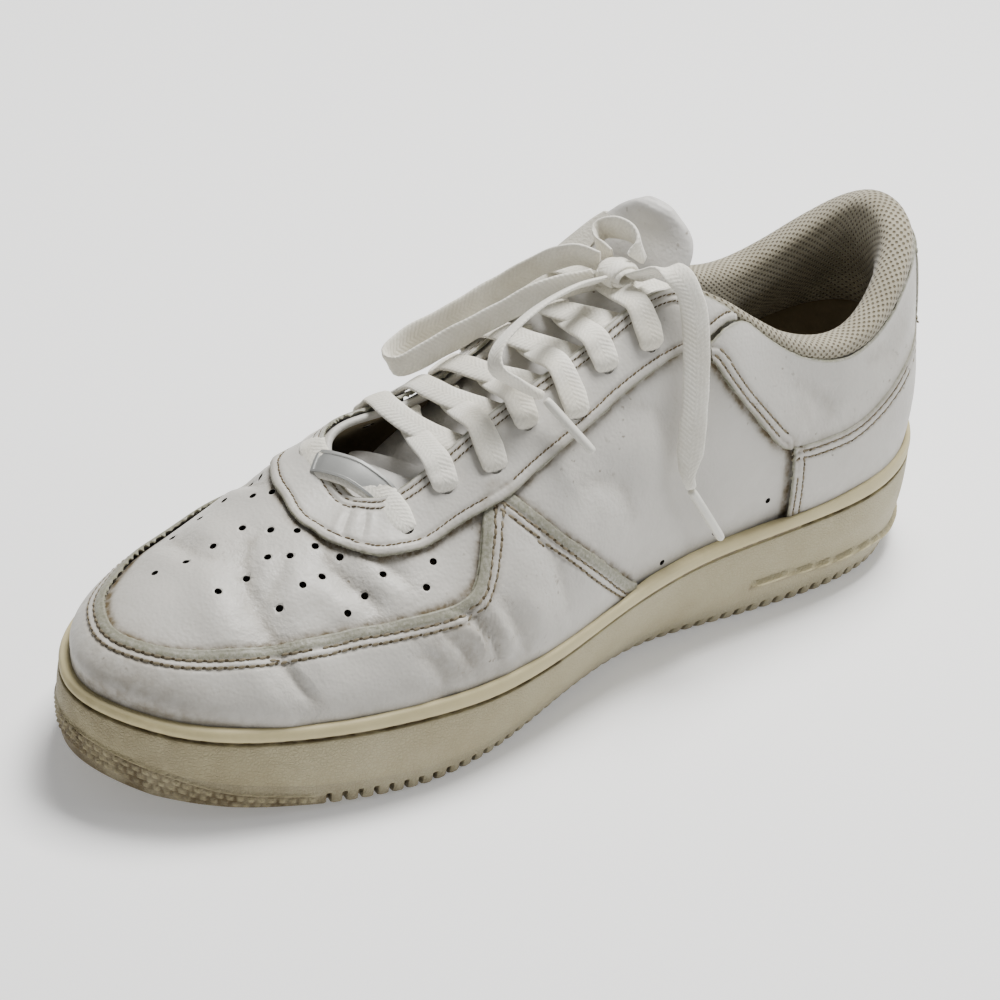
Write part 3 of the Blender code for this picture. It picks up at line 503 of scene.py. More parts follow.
sole_top_edge = smooth_ring(SOLE_TOP_EDGE)
tread_edge = smooth_ring(TREAD_EDGE)
opening = smooth_ring(OPENING)
rise = smooth_ring(RISE)
arrival = smooth_ring(ARRIVAL)
sole_top_table = along(SOLE_TOP)
sole_bottom = along(SOLE_BOTTOM)
outsole_band = along(OUTSOLE_BAND)
toe_panel_medial = mirrored(TOE_PANEL_EDGE, 0.007)
eyestay_edge = mirrored(EYESTAY_EDGE, 0.012)
collar_panel_edge = mirrored(COLLAR_PANEL_EDGE, 0.006)
collar_panel_top = mirrored(COLLAR_PANEL_TOP, 0.004)
upper_end = mirrored(UPPER_END, 0.01)
rand = mirrored(RAND, 0.02)
ledge = mirrored(LEDGE, 0.01)
bumper_line = mirrored(BUMPER_LINE, 0.006)
heel_ridge = mirrored(HEEL_RIDGE, 0.02)


def toe_panel_edge(u):
    """The toe panel's upper edge, which runs lower on the other side of the shoe."""
    u = np.asarray(u, float)
    return toe_panel_medial(u) - np.interp(u, *np.array(OTHER_SIDE_DROP).T)


def counter_top(u):
    return collar_panel_edge(u) + COUNTER_RISE


def level_line(s):
    """A line round the upper that keeps to one share of its height."""
    return lambda u: np.full(np.shape(u), s)


def sole_top(l):
    """Height of the sole's top edge, smoothed over 24 mm."""
    return sum(sole_top_table(l + shift) for shift in (-12, -6, 0, 6, 12)) / 5


def cup_floor(l):
    return sole_top(l) - CUP_DEPTH


def outward(edge, u):
    """The level direction that points out of an outline at u."""
    step = 0.001
    run = unit(edge(u + step)[..., :2] - edge(u - step)[..., :2])
    return np.stack([-run[..., 1], run[..., 0]], -1)


def upper_point(u, s):
    """A point of the upper's outer face, which goes straight down into the cup where s is under 0."""
    u, s = np.broadcast_arrays(np.asarray(u, float), np.asarray(s, float))
    below = np.minimum(s, 0)
    s = np.maximum(s, 0)
    side = outward(sole_top_edge, u)
    foot = sole_top_edge(u) - (LIP + GAP) * side
    start = np.concatenate([foot, sole_top(foot[..., 0])[..., None]], -1)
    out_up = rise(u)
    leave = np.concatenate([side * out_up[..., :1], out_up[..., 1:]], -1)
    s = s[..., None]
    curve = (2 * s**3 - 3 * s**2 + 1) * start + (s**3 - 2 * s**2 + s) * leave
    curve[..., 2] += below * FOOT_DROP
    return curve + (3 * s**2 - 2 * s**3) * opening(u) + (s**3 - s**2) * arrival(u)


def upper_normal(u, s):
    u, s = np.broadcast_arrays(np.asarray(u, float), np.asarray(s, float))
    step = 0.002
    s = np.maximum(s, 0)
    around = upper_point(u + step, s) - upper_point(u - step, s)
    upwards = upper_point(u, np.minimum(s + step, 1)) - upper_point(u, np.maximum(s - step, 0))
    return unit(np.cross(upwards, around))


def sole_wall(u, z, inset):
    """A point of the sole's side at height z, that far in from its face."""
    low = tread_edge(u)
    high = sole_top_edge(u)
    foot = sole_bottom(low[..., 0])
    head = sole_top(high[..., 0])
    share = np.clip((z - foot) / (head - foot), 0, 1)
    bulge = SIDE_BULGE * np.sin(math.pi * share)
    side = outward(sole_top_edge, u)
    level = low + (high - low) * (share**0.8)[..., None] + side * (bulge - inset)[..., None]
    return np.concatenate([level, z[..., None]], -1)


def half_run():
    """Stations of one half of the sole, and the run along its edge to each, both sides averaged."""
    u = np.linspace(0, 1, 2001)
    steps = [np.linalg.norm(np.diff(tread_edge(side * u), axis=0), axis=1) for side in (1, -1)]
    return u, np.append(0, np.cumsum((steps[0] + steps[1]) / 2))


HALF_STATIONS, HALF_RUN = half_run()
HALF_TEETH = round(HALF_RUN[-1] / TOOTH_PITCH)


def sole_stations():
    """Stations round the sole, eight to a tooth, with close ones at the sides of each slot."""
    marks = np.array((0.0, 0.18, 0.335, 0.375, 0.5, 0.625, 0.665, 0.82))
    share = (np.arange(HALF_TEETH)[:, None] + marks).ravel() / HALF_TEETH
    half = np.interp(share * HALF_RUN[-1], HALF_RUN, HALF_STATIONS)
    return np.concatenate([half, [1.0], 2 - half[:0:-1], [2.0]])


def sole_relief(u, above):
    """How far the sole's side stands out at a height above its foot: slots, knurl and ridges."""
    around = from_heel(u)
    run = np.interp(around, HALF_STATIONS, HALF_RUN)
    tooth = run / HALF_RUN[-1] * HALF_TEETH % 1
    slot = np.clip((SLOT_SHARE / 2 - np.abs(tooth - 0.5)) / 0.03, 0, 1)
    toothed = (around > TEETH_START) & (around < BUMPER_START)
    slot = slot * np.clip((TOOTH_HEIGHT - above) / 0.6, 0, 1) * toothed
    under = bumper_line(u) - above
    toe = np.clip((around - BUMPER_START) / 0.008, 0, 1)
    line = 0.6 * swell(under, 0.45)
    row = (under - 1.9) / KNURL_STEP
    stagger = 0.5 * (np.round(row) % 2)
    beside = np.abs((run / KNURL_PITCH + stagger) % 1 - 0.5) * KNURL_PITCH
    over = np.abs(row - np.round(row)) * KNURL_STEP
    knurl = np.clip(1.25 - np.maximum(beside, over), 0, 1) / 1.25 * KNURL_HEIGHT
    knurl = knurl * (under > 0.9) * (row < 2.5) * (above > 1.2)
    off = np.abs(above + sole_bottom(tread_edge(u)[..., 0]) - heel_ridge(u))
    heel = RIDGE_DEPTH * np.clip((RIDGE_HEIGHT / 2 - off) / 0.4, 0, 1)
    heel = heel * np.clip((RIDGE_END - around) / 0.004, 0, 1)
    return toe * (line + knurl) + heel - SLOT_DEPTH * slot


def side_point(u, above, inset=0.0):
    """A point of the sole's moulded side at a height above its foot."""
    u, above = np.broadcast_arrays(u, above)
    foot = sole_bottom(tread_edge(u)[..., 0])
    return sole_wall(u, foot + above, inset - sole_relief(u, above))


def nearest(points, line):
    """How far each point is from a line of points, and which of them is the nearest."""
    flat = points.reshape(-1, 3)
    gaps = np.empty(len(flat))
    picks = np.empty(len(flat), int)
    chunk = 2000000 // len(line)
    for first in range(0, len(flat), chunk):
        part = flat[first : first + chunk]
        square = ((part[:, None] - line[None]) ** 2).sum(-1)
        picks[first : first + chunk] = square.argmin(1)
        gaps[first : first + chunk] = np.sqrt(square.min(1))
    return gaps.reshape(points.shape[:-1]), picks.reshape(points.shape[:-1])


def crease_lines():
    """The creases as lines of points on the upper, with their widths and depths."""
    lines = []
    for path, width, depth in CREASES:
        marks = smooth_path([(u, s, 0) for u, s in path], 0.01)
        lines.append((upper_point(marks[:, 0], marks[:, 1]), width, depth))
    return lines


CREASE_LINES = crease_lines()


def creasing(points):
    """How far the creases and the slack of the worn leather lift or sink it at these points."""
    lift = np.zeros(points.shape[:-1])
    for line, width, depth in CREASE_LINES:
        gap, pick = nearest(points, line)
        fade = np.sin(math.pi * np.clip(pick / (len(line) - 1), 0.04, 0.96)) ** 0.6
        trough = np.exp(-np.abs(gap / width * 1.6) ** 1.5)
        ridge = swell(gap - 1.35 * width, 0.8 * width)
        lift += depth * fade * (0.45 * ridge - trough)
    for (l, w, z), depth in SLACK_WAVES:
        lift += depth * np.sin(points[..., 0] / l + points[..., 1] / w + points[..., 2] / z)
    return lift


def seam_lines():
    """The edges of the panels as lines of points on the upper, where painted shade and grime gather.
    """
    lines = []
    for edge, first, last in (
        (toe_panel_edge, 0.50, 1.50),
        (eyestay_edge, 0.375, 1.625),
        (collar_panel_edge, -COLLAR_PANEL_END, COLLAR_PANEL_END),
        (counter_top, -COUNTER_END, COUNTER_END),
    ):
        u = np.linspace(first, last, 420)
        lines.append(upper_point(u, edge(u)))
    s = np.linspace(0, 0.42, 40)
    lines.extend(upper_point(np.full(40, end), s) for end in (-COUNTER_END, COUNTER_END))
    return np.concatenate(lines)


SEAM_POINTS = seam_lines()


def skin(u, s, height):
    """Points of the worn upper, that far outside its leather."""
    base = upper_point(u, s)
    lift = height + creasing(base)
    return base + lift[..., None] * upper_normal(u, s)


def bare_skin(u, s, height):
    """Points that far outside the upper before it was creased."""
    return upper_point(u, s) + np.asarray(height)[..., None] * upper_normal(u, s)


# Colours and finishes
def srgb(red, green, blue):
    """A colour given in the 0 to 255 steps of a screen."""
    return tuple((x / 255) ** 2.2 for x in (red, green, blue)) + (1.0,)


# Colours of grime. The masks that lay them on also paint shade in creases, seams, hollows and low
# places, and the rubber's yellowing colour also paints highlights on its raised places
LEATHER_GRIME_AND_SHADE = srgb(104, 92, 70)
SPECK = srgb(120, 112, 98)
CLOTH_GRIME_AND_SHADE = srgb(92, 82, 62)
RUBBER_GRIME_AND_SHADE = srgb(92, 80, 56)
RUBBER_PIT = srgb(112, 100, 74)
RUBBER_YELLOWING_AND_HIGHLIGHT = srgb(208, 195, 146)
LACE_LIGHT = srgb(234, 231, 220)
LACE_DARK = srgb(216, 211, 196)
LACE_SHADE = srgb(140, 132, 116)


def add(tree, kind, inputs=(), **settings):
    """A node with its settings, its inputs set to values or joined to sockets."""
    made = tree.nodes.new("ShaderNode" + kind)
    for name, value in settings.items():
        setattr(made, name, value)
    for key, value in dict(inputs).items():
        if isinstance(value, bpy.types.NodeSocket):
            tree.links.new(value, made.inputs[key])
        else:
            made.inputs[key].default_value = value
    return made


def new_material(name):
    made = bpy.data.materials.new(name)
    made.use_nodes = True
    return made, made.node_tree, made.node_tree.nodes["Principled BSDF"]


def here(tree):
    """Object coordinates."""
    return add(tree, "TexCoord").outputs["Object"]


def noise(tree, at, scale, detail=3.0, roughness=0.55):
    inputs = {"Vector": at, "Scale": scale, "Detail": detail, "Roughness": roughness}
    return add(tree, "TexNoise", inputs).outputs["Fac"]


def spread(tree, value, low, high, to_low=0.0, to_high=1.0):
    """A value moved from one range to another and kept inside it."""
    inputs = {"Value": value, "From Min": low, "From Max": high, "To Min": to_low, "To Max": to_high}
    return add(tree, "MapRange", inputs).outputs["Result"]


def calculate(tree, operation, first, second=0.0):
    return add(tree, "Math", {0: first, 1: second}, operation=operation).outputs[0]


def times(tree, first, second):
    return calculate(tree, "MULTIPLY", first, second)


def mix(tree, share, first, second):
    """One colour passing into another."""
    return add(tree, "Mix", {0: share, 6: first, 7: second}, data_type="RGBA").outputs[2]


def bump(tree, height, distance, strength=1.0, under=None):
    inputs = {"Height": height, "Distance": distance, "Strength": strength}
    if under is not None:
        inputs["Normal"] = under
    return add(tree, "Bump", inputs).outputs["Normal"]


def attribute(tree, name):
    return add(tree, "Attribute", attribute_name=name).outputs["Fac"]


def own_map(tree):
    """The two directions of the piece's own map, in millimetres."""
    return add(tree, "SeparateXYZ", {"Vector": add(tree, "UVMap").outputs["UV"]}).outputs


def dimmed(colour, share):
    return tuple(share * x for x in colour[:3]) + (1,)


def leather(name, colour, raw):
    """Creased white leather: fine grain and wrinkles, grime with painted shade in the creases, along
    seams and low down, raw grey edges.
    """
    made, tree, shader = new_material(name)
    spot = here(tree)
    cloud = noise(tree, spot, 28.0, 4.0)
    fine = noise(tree, spot, 260.0, 5.0, 0.65)
    grain = add(tree, "TexVoronoi", {"Vector": spot, "Scale": 950.0}, feature="SMOOTH_F1")
    grain = grain.outputs["Distance"]
    warm = mix(tree, spread(tree, cloud, 0.35, 0.65), colour, dimmed(colour, 0.90))
    speck = spread(tree, noise(tree, spot, 420.0, 2.0), 0.66, 0.74)
    patch = spread(tree, noise(tree, spot, 34.0, 2.0), 0.5, 0.72)
    speckled = mix(tree, times(tree, speck, patch), warm, SPECK)
    broken = spread(tree, fine, 0.30, 0.62, 0.35, 1.15)
    # Grime and painted shade, read from the piece's points, broken up by noise
    grime_and_shade = times(tree, attribute(tree, "dirt_and_shade"), broken)
    grimy_and_shaded = mix(tree, grime_and_shade, speckled, LEATHER_GRIME_AND_SHADE)
    fuzz = spread(tree, noise(tree, spot, 900.0, 4.0, 0.7), 0.3, 0.6, 0.55, 1.1)
    painted = mix(tree, times(tree, attribute(tree, "edge"), fuzz), grimy_and_shaded, raw)
    tree.links.new(painted, shader.inputs["Base Color"])
    tree.links.new(spread(tree, fine, 0.3, 0.7, 0.40, 0.58), shader.inputs["Roughness"])
    low = bump(tree, noise(tree, spot, 48.0, 2.0), 0.0013, 0.4)
    folds = times(tree, noise(tree, spot, 190.0, 4.0, 0.6), attribute(tree, "worn"))
    wrinkled = bump(tree, folds, 0.0011, 0.8, low)
    tree.links.new(bump(tree, grain, 0.00018, 0.55, wrinkled), shader.inputs["Normal"])
    shader.inputs["Specular IOR Level"].default_value = 0.42
    return made


def knit(name, colour, hole):
    """Knitted lining cloth with small dark openings in rows, from its own UV map in millimetres."""
    made, tree, shader = new_material(name)
    spot = here(tree)
    flat = own_map(tree)
    waves = [calculate(tree, "SINE", times(tree, flat[axis], 2.7)) for axis in "XY"]
    weave = times(tree, *waves)
    tone = mix(tree, spread(tree, noise(tree, spot, 40.0), 0.35, 0.7), colour, dimmed(colour, 0.8))
    woven = mix(tree, spread(tree, weave, 0.15, 0.65), tone, hole)
    broken = spread(tree, noise(tree, spot, 90.0), 0.3, 0.6)
    # Grime and painted shade, read from the piece's points
    grime_and_shade = times(tree, attribute(tree, "dirt_and_shade"), broken)
    tree.links.new(mix(tree, grime_and_shade, woven, CLOTH_GRIME_AND_SHADE), shader.inputs["Base Color"])
    shader.inputs["Roughness"].default_value = 0.93
    shader.inputs["Sheen Weight"].default_value = 0.25
    tree.links.new(bump(tree, spread(tree, weave, 0.7, 0.1), 0.0006, 0.9), shader.inputs["Normal"])
    return made


def rubber(name, light, dark):
    """Aged rubber with a pebbled face and darker pits, grime with painted shade in its low places,
    and yellowing with painted highlights on its raised places.
    """
    made, tree, shader = new_material(name)
    spot = here(tree)
    cloud = noise(tree, spot, 22.0, 4.0)
    cells = add(tree, "TexVoronoi", {"Vector": spot, "Scale": 900.0}, feature="DISTANCE_TO_EDGE")
    cells = cells.outputs["Distance"]
    pebbles = times(tree, spread(tree, cells, 0.02, 0.22), attribute(tree, "pebble"))
    tone = mix(tree, spread(tree, cloud, 0.35, 0.68), light, dark)
    pit = times(tree, spread(tree, cells, 0.10, 0.0, 0.0, 0.28), attribute(tree, "pebble"))
    pitted = mix(tree, pit, tone, RUBBER_PIT)
    # Yellowing, which on raised places is a painted highlight
    yellowing_and_highlight = mix(tree, attribute(tree, "yellowing_and_highlight"), pitted, RUBBER_YELLOWING_AND_HIGHLIGHT)
    broken = spread(tree, noise(tree, spot, 160.0, 4.0), 0.3, 0.62, 0.4, 1.15)
    # Grime and painted shade, read from the piece's points, broken up by noise
    grime_and_shade = times(tree, attribute(tree, "dirt_and_shade"), broken)
    tree.links.new(mix(tree, grime_and_shade, yellowing_and_highlight, RUBBER_GRIME_AND_SHADE), shader.inputs["Base Color"])
    tree.links.new(spread(tree, cloud, 0.3, 0.7, 0.50, 0.68), shader.inputs["Roughness"])
    tree.links.new(bump(tree, pebbles, 0.00020, 0.7), shader.inputs["Normal"])
    shader.inputs["Specular IOR Level"].default_value = 0.35
    return made


def lace_cloth(name):
    """A flat woven lace: a fine braid along the band, from its own UV map in millimetres."""
    made, tree, shader = new_material(name)
    spot = here(tree)
    flat = own_map(tree)
    fold = calculate(tree, "ABSOLUTE", flat["Y"])
    slant = calculate(tree, "ADD", times(tree, flat["X"], 4.4), times(tree, fold, 3.2))
    ribs = spread(tree, calculate(tree, "SINE", slant), -1.0, 1.0)
    threads = spread(tree, calculate(tree, "SINE", times(tree, flat["Y"], 5.2)), -1.0, 1.0)
    woven = times(tree, ribs, spread(tree, threads, 0.0, 1.0, 0.55, 1.0))
    cloud = spread(tree, noise(tree, spot, 60.0, 4.0), 0.4, 0.7)
    tone = mix(tree, cloud, LACE_LIGHT, LACE_DARK)
    fuzz = spread(tree, noise(tree, spot, 1400.0, 3.0, 0.7), 0.35, 0.65, 0.16, 0.0)
    shade = calculate(tree, "ADD", fuzz, spread(tree, woven, 0.0, 0.5, 0.05, 0.0))
    tree.links.new(mix(tree, shade, tone, LACE_SHADE), shader.inputs["Base Color"])
    shader.inputs["Roughness"].default_value = 0.9
    shader.inputs["Sheen Weight"].default_value = 0.3
    soft = bump(tree, noise(tree, spot, 900.0, 3.0, 0.7), 0.0003, 0.5)
    tree.links.new(bump(tree, woven, 0.00013, 0.7, soft), shader.inputs["Normal"])
    return made


def plain(name, colour, roughness, metallic=0.0, grain=400.0, depth=0.00005):
    """A finish with a little variation in colour and a fine surface."""
    made, tree, shader = new_material(name)
    spot = here(tree)
    cloud = noise(tree, spot, 70.0, 3.0)
    tone = mix(tree, spread(tree, cloud, 0.35, 0.7), colour, dimmed(colour, 0.8))
    tree.links.new(tone, shader.inputs["Base Color"])
    dull = spread(tree, cloud, 0.3, 0.7, roughness, roughness + 0.15)
    tree.links.new(dull, shader.inputs["Roughness"])
    shader.inputs["Metallic"].default_value = metallic
    tree.links.new(bump(tree, noise(tree, spot, grain, 3.0), depth, 0.6), shader.inputs["Normal"])
    return made


WHITE_LEATHER = leather("white_leather", srgb(196, 193, 186), srgb(122, 121, 104))
SOFT_LEATHER = leather("soft_leather", srgb(208, 206, 202), srgb(160, 152, 134))
INNER_CLOTH = plain("inner_cloth", srgb(122, 110, 88), 0.9, 0.0, 700.0, 0.0002)
KNIT_LINING = knit("knit_lining", srgb(168, 161, 141), srgb(106, 97, 77))
SOLE_RUBBER = rubber("sole_rubber", srgb(170, 163, 139), srgb(148, 140, 115))
LACE_CLOTH = lace_cloth("lace_cloth")
BINDING = plain("binding_cloth", srgb(210, 206, 194), 0.92, 0.0, 1100.0, 0.0005)
THREAD = plain("thread", srgb(122, 112, 92), 0.8)
DARK_THREAD = plain("dark_thread", srgb(98, 86, 66), 0.85)
# A dark finish that paints the shade of the needle holes
NEEDLE_HOLE_SHADE = plain("needle_hole_shade", srgb(78, 68, 50), 0.95)
# A near-black finish for the walls of the punched holes: painted shade inside them
HOLE_WALL_SHADE = plain("hole_wall_shade", srgb(40, 36, 30), 0.95)
TIP_PLASTIC = plain("tip_plastic", srgb(222, 220, 210), 0.28)
DULL_PLATE = plain("dull_plate", srgb(196, 197, 194), 0.36, 0.8, 900.0, 0.00004)


# Making and closing pieces
def choose(made):
    """Makes one piece the only one that is selected."""
    bpy.ops.object.select_all(action="DESELECT")
    made.select_set(True)
    bpy.context.view_layer.objects.active = made


def shaped_sheet(name, points, uv=None):
    """A grid whose points are moved, row by row, to their places on the shoe."""
    rows, columns = points.shape[:2]
    bpy.ops.mesh.primitive_grid_add(x_subdivisions=columns - 1, y_subdivisions=rows - 1)
    made = bpy.context.object
    made.name = name
    made.data.name = name
    made.data.vertices.foreach_set("co", place(points).ravel())
    if uv is not None:
        corners = np.empty(len(made.data.loops), int)
        made.data.loops.foreach_get("vertex_index", corners)
        made.data.uv_layers[0].data.foreach_set("uv", uv.reshape(-1, 2)[corners].ravel())
    made.data.update()
    return made


def paint(made, name, values):
    """Keeps a value at each of a piece's points, for its material to read."""
    kept = made.data.attributes.new(name, "FLOAT", "POINT")
    kept.data.foreach_set("value", np.asarray(values, float).ravel())


def close_up(made, flip=False):
    """Welds a piece's seams and turns its faces out, or turns them all over where flip is given."""
    choose(made)
    bpy.ops.object.mode_set(mode="EDIT")
    bpy.ops.mesh.select_all(action="SELECT")
    bpy.ops.mesh.remove_doubles(threshold=1e-6)
    if flip:
        bpy.ops.mesh.flip_normals()
    else:
        bpy.ops.mesh.normals_make_consistent(inside=False)
    bpy.ops.object.mode_set(mode="OBJECT")


def face_up(made, face=0):
    """Turns an open sheet over where it faces down at one of its faces."""
    if made.data.polygons[face].normal.z < 0:
        close_up(made, flip=True)


def thicken(made, thickness):
    """Gives an open sheet its thickness, inwards from its face."""
    wall = made.modifiers.new("wall", "SOLIDIFY")
    wall.thickness = thickness / 1000
    wall.offset = -1
    choose(made)
    bpy.ops.object.modifier_apply(modifier=wall.name)


def dress(made, materials, replaces=(), angle=50):
    """Gives a piece its finish and its place in the model."""
    for material in materials:
        made.data.materials.append(material)
    choose(made)
    bpy.ops.object.shade_smooth_by_angle(angle=math.radians(angle))
    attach(made, "root")
    if replaces:
        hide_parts(*replaces)
    return made


def band(name, path, axis, width, thickness, round_off, sides=16):
    """A flat band along a path, its width lying along axis, with UVs in millimetres."""
    path = np.asarray(path, float)
    count = len(path)
    run = unit(np.gradient(path, axis=0))
    axis = np.broadcast_to(np.asarray(axis, float), path.shape)
    across = unit(axis - run * (axis * run).sum(-1, keepdims=True))
    face = np.cross(across, run)
    width = np.broadcast_to(np.asarray(width, float), (count,))
    thickness = np.broadcast_to(np.asarray(thickness, float), (count,))
    angle = np.linspace(0, 2 * math.pi, sides + 1)
    bulge_x = squared_off(np.cos(angle), round_off)
    bulge_y = squared_off(np.sin(angle), round_off)
    rows = []
    for i in range(count):
        x = across[i] * width[i] / 2
        y = face[i] * thickness[i] / 2
        rows.append(path[i] + bulge_x[:, None] * x + bulge_y[:, None] * y)
    ends = []
    for row, back, way in ((rows[0], path[0], -run[0]), (rows[-1], path[-1], run[-1])):
        middle = back + way * 0.35
        ends.append([middle + (row - back) * share for share in (0.75, 0.0)])
    rows = [ends[0][1], ends[0][0], *rows, *ends[1]]
    length = run_length(path)
    length = np.concatenate([[0, 0], length, [length[-1]] * 2])
    places = np.stack(np.broadcast_arrays(length[:, None], bulge_x[None] * LACE_WIDTH / 2), -1)
    made = shaped_sheet(name, np.array(rows), places)
    close_up(made)
    return made


# Camera, lights and floor
def make_camera():
    axes = Matrix((CAMERA_RIGHT, tuple(-x for x in CAMERA_DOWN), tuple(-x for x in CAMERA_FORWARD)))
    camera = bpy.data.cameras.new("camera")
    camera.lens = CAMERA_LENS
    camera.sensor_width = CAMERA_SENSOR
    camera.shift_x, camera.shift_y = CAMERA_SHIFT
    made = bpy.data.objects.new("camera", camera)
    made.matrix_world = Matrix.Translation(CAMERA_PLACE) @ axes.transposed().to_4x4()
    bpy.context.scene.collection.objects.link(made)
    bpy.context.scene.camera = made


def make_light(name, at, size, power, colour):
    bpy.ops.object.light_add(type="AREA", location=at)
    made = bpy.context.object
    made.name = name
    made.data.size = size
    made.data.energy = power
    made.data.color = colour
    way = Vector(LIGHT_TARGET) - Vector(at)
    made.rotation_euler = way.to_track_quat("-Z", "Y").to_euler()


def make_stage():
    bpy.ops.mesh.primitive_plane_add(size=8)
    floor = bpy.context.object
    floor.name = "floor"
    material, _, shader = new_material("pale_floor")
    shader.inputs["Base Color"].default_value = (0.9, 0.9, 0.9, 1)
    shader.inputs["Emission Color"].default_value = (1.0, 1.0, 1.0, 1)
    shader.inputs["Emission Strength"].default_value = FLOOR_GLOW
    shader.inputs["Roughness"].default_value = 0.8
    floor.data.materials.append(material)
    world = bpy.data.worlds.new("studio")
    world.use_nodes = True
    background = world.node_tree.nodes["Background"]
    background.inputs["Color"].default_value = (1.0, 1.0, 1.0, 1)
    background.inputs["Strength"].default_value = ROOM_GLOW
    bpy.context.scene.world = world
    for light in LIGHTS:
        make_light(*light)


# Laces
def lace(name, path, axis, node=(), ending=False):
    """A free stretch of the lace, in the finish of the rest, drawn in to its tip where it has one."""
    run = run_length(path)
    width = np.full(len(path), LACE_WIDTH) + 0.35 * np.sin(run / 4.7) + 0.2 * np.sin(run / 1.9)
    thickness = np.full(len(path), LACE_THICKNESS * 0.85)
    if ending:
        left = run[-1] - run
        width = np.minimum(width, np.interp(left, (0, 2, 11), (3.3, 3.5, LACE_WIDTH)))
        thickness = thickness + np.interp(left, (0, 3, 11), (1.2, 1.0, 0.0))
    made = band(name, path, axis, width, thickness, 0.75, 20)
    return dress(made, [LACE_CLOTH], node)


def make_tip(name, route, node):
    """A lace tip: a slim plastic tube, a little pinched at each end."""
    path = smooth_path(route, 0.8)
    share = np.linspace(0, 1, len(path))
    size = 3.2 - 0.4 * np.abs(2 * share - 1) ** 8
    made = band(name, path, (0.3, 0.9, 0.3), size, size * 0.88, 1.0, 20)
    return dress(made, [TIP_PLASTIC], [node])


def make_cords():
    """The bow's two halves, each from the knot round its loop and out to its end."""
    long_tip = make_tip("long_lace_tip", LONG_AGLET, "aglet_long")
    short_tip = make_tip("short_lace_tip", SHORT_AGLET, "aglet_short")
    large = smooth_path(LARGE_LOOP, 1.2)
    short = smooth_path(SHORT_END, 1.2)
    small = smooth_path(SMALL_LOOP, 1.2)
    long = smooth_path(LONG_END, 1.2)
    # name, route, the way across the band, node, tip and far end
    loops = (
        ("large_loop", large, (0.42, -0.21, 0.88), "lace_loop_large", None, "bare"),
        ("short_lace_end", short, (0.0, 0.77, 0.63), "lace_end_short", short_tip, "fitting"),
        ("small_loop", small, (0.25, -0.1, 0.95), "lace_loop_small", None, "bare"),
        ("long_lace_end", long, (-0.81, 0.58, 0.06), "lace_end_long", long_tip, "fitting"),
    )
    for name, path, axis, node, tip, far_end in loops:
        made = lace(name, path, axis, [node], tip is not None)


def make_knot():
    """The bow's knot: the band wrapped over its own core."""
    centre = np.array(KNOT_CENTRE)
    turn = np.linspace(0, 2 * math.pi, 48)
    ring = np.stack([4.6 * np.cos(turn), 0.8 * np.sin(turn), 3.4 * np.sin(turn)], -1)
    made = band("knot", centre + ring, (0.1, 1.0, 0.15), 7.6, 2.2, 0.8)
    dress(made, [LACE_CLOTH], ["lace_knot"])
    core = np.stack([3.2 * np.cos(turn), 0 * turn, 2.2 * np.sin(turn)], -1)
    made = band("knot_core", centre + core, (0.1, 1.0, 0.1), 11.0, 2.8, 0.8)
    dress(made, [LACE_CLOTH])


def make_strand(name, row, side, over, node):
    """A lace from its eyelet over the throat's edge, across to the other edge and under it."""
    u, s = EYELETS[row]
    far_u = u + 0.6 * (EYELETS[row + 1][0] - u)
    climb = (
        (s - 0.014, -1.8), (s - 0.006, 1.0), (s + 0.020, 3.2), ((s + 0.98) / 2, 3.5), (0.985, 3.9),
    )
    route = [bare_skin(side * u, mark, height) for mark, height in climb]
    for share, extra in LACE_ARCH:
        mark = u + (far_u - u) * share**2
        level = opening(side * mark) * (1 - share) + opening(-side * mark) * share
        route.append(level + np.array(LACING_FACE) * (extra + over * (1 - share**6)))
    route.append(bare_skin(-side * far_u, 0.985, -UPPER_WALL - 1.2))
    route.append(bare_skin(-side * far_u, 0.92, -UPPER_WALL - 1.6))
    path = smooth_path(route, 1.0)
    run = run_length(path)
    width = np.interp(run, (0, 2.5, 5, 10, 18), (4.2, 5.2, 7.6, 8.4, 7.4))
    thickness = LACE_THICKNESS * np.interp(run, (0, 6, 14), (1.25, 1.15, 0.95))
    turned = np.interp(run / run[-1], (0.2, 0.5), (0, 1))[:, None]
    normals = turned * unit(np.array(LACING_FACE)) + (1 - turned) * upper_normal(side * u, s)
    axis = np.cross(unit(np.gradient(path, axis=0)), unit(normals))
    made = band(name, path, axis, width, thickness, 0.75, 20)
    return dress(made, [LACE_CLOTH], node)


def make_laces():
    """The crossing laces, and the lowest one, which runs straight over the throat."""
    for row in range(1, LACED_ROWS):
        for side, label, over in ((1, "medial", 0.0), (-1, "lateral", CROSSING_LIFT)):
            node = [f"lace_crossing_{row + 1}"] if side == 1 else []
            make_strand(f"{label}_lace_{row + 1}", row, side, over, node)
    u, s = EYELETS[0]
    sides = ((1, -1.8), (1, 1.4), (-1, 1.4), (-1, -1.8))
    ends = [bare_skin(side * u, s, height) for side, height in sides]
    path = smooth_path([*ends[:2], *LOWEST_LACE, *ends[2:]], 1.0)
    share = np.linspace(0, 1, len(path))
    near_ends = ((1, 0, 0, 0), (0, 0, 0, 1))
    turned = np.stack([np.interp(share, (0, 0.25, 0.75, 1), near) for near in near_ends], -1)
    normals = turned[:, :1] * upper_normal(u, s) + turned[:, 1:] * upper_normal(-u, s)
    normals = normals + (1 - turned.sum(-1, keepdims=True)) * unit(np.array(THROAT_FACE))
    axis = np.cross(unit(np.gradient(path, axis=0)), unit(normals))
    width = np.interp(share, (0, 0.05, 0.13, 0.87, 0.95, 1), (4.4, 6.0, 8.4, 8.4, 6.0, 4.4))
    made = band("lowest_lace", path, axis, width, LACE_THICKNESS, 0.75, 20)
    dress(made, [LACE_CLOTH], ["lace_bar_1"])
    make_plate()


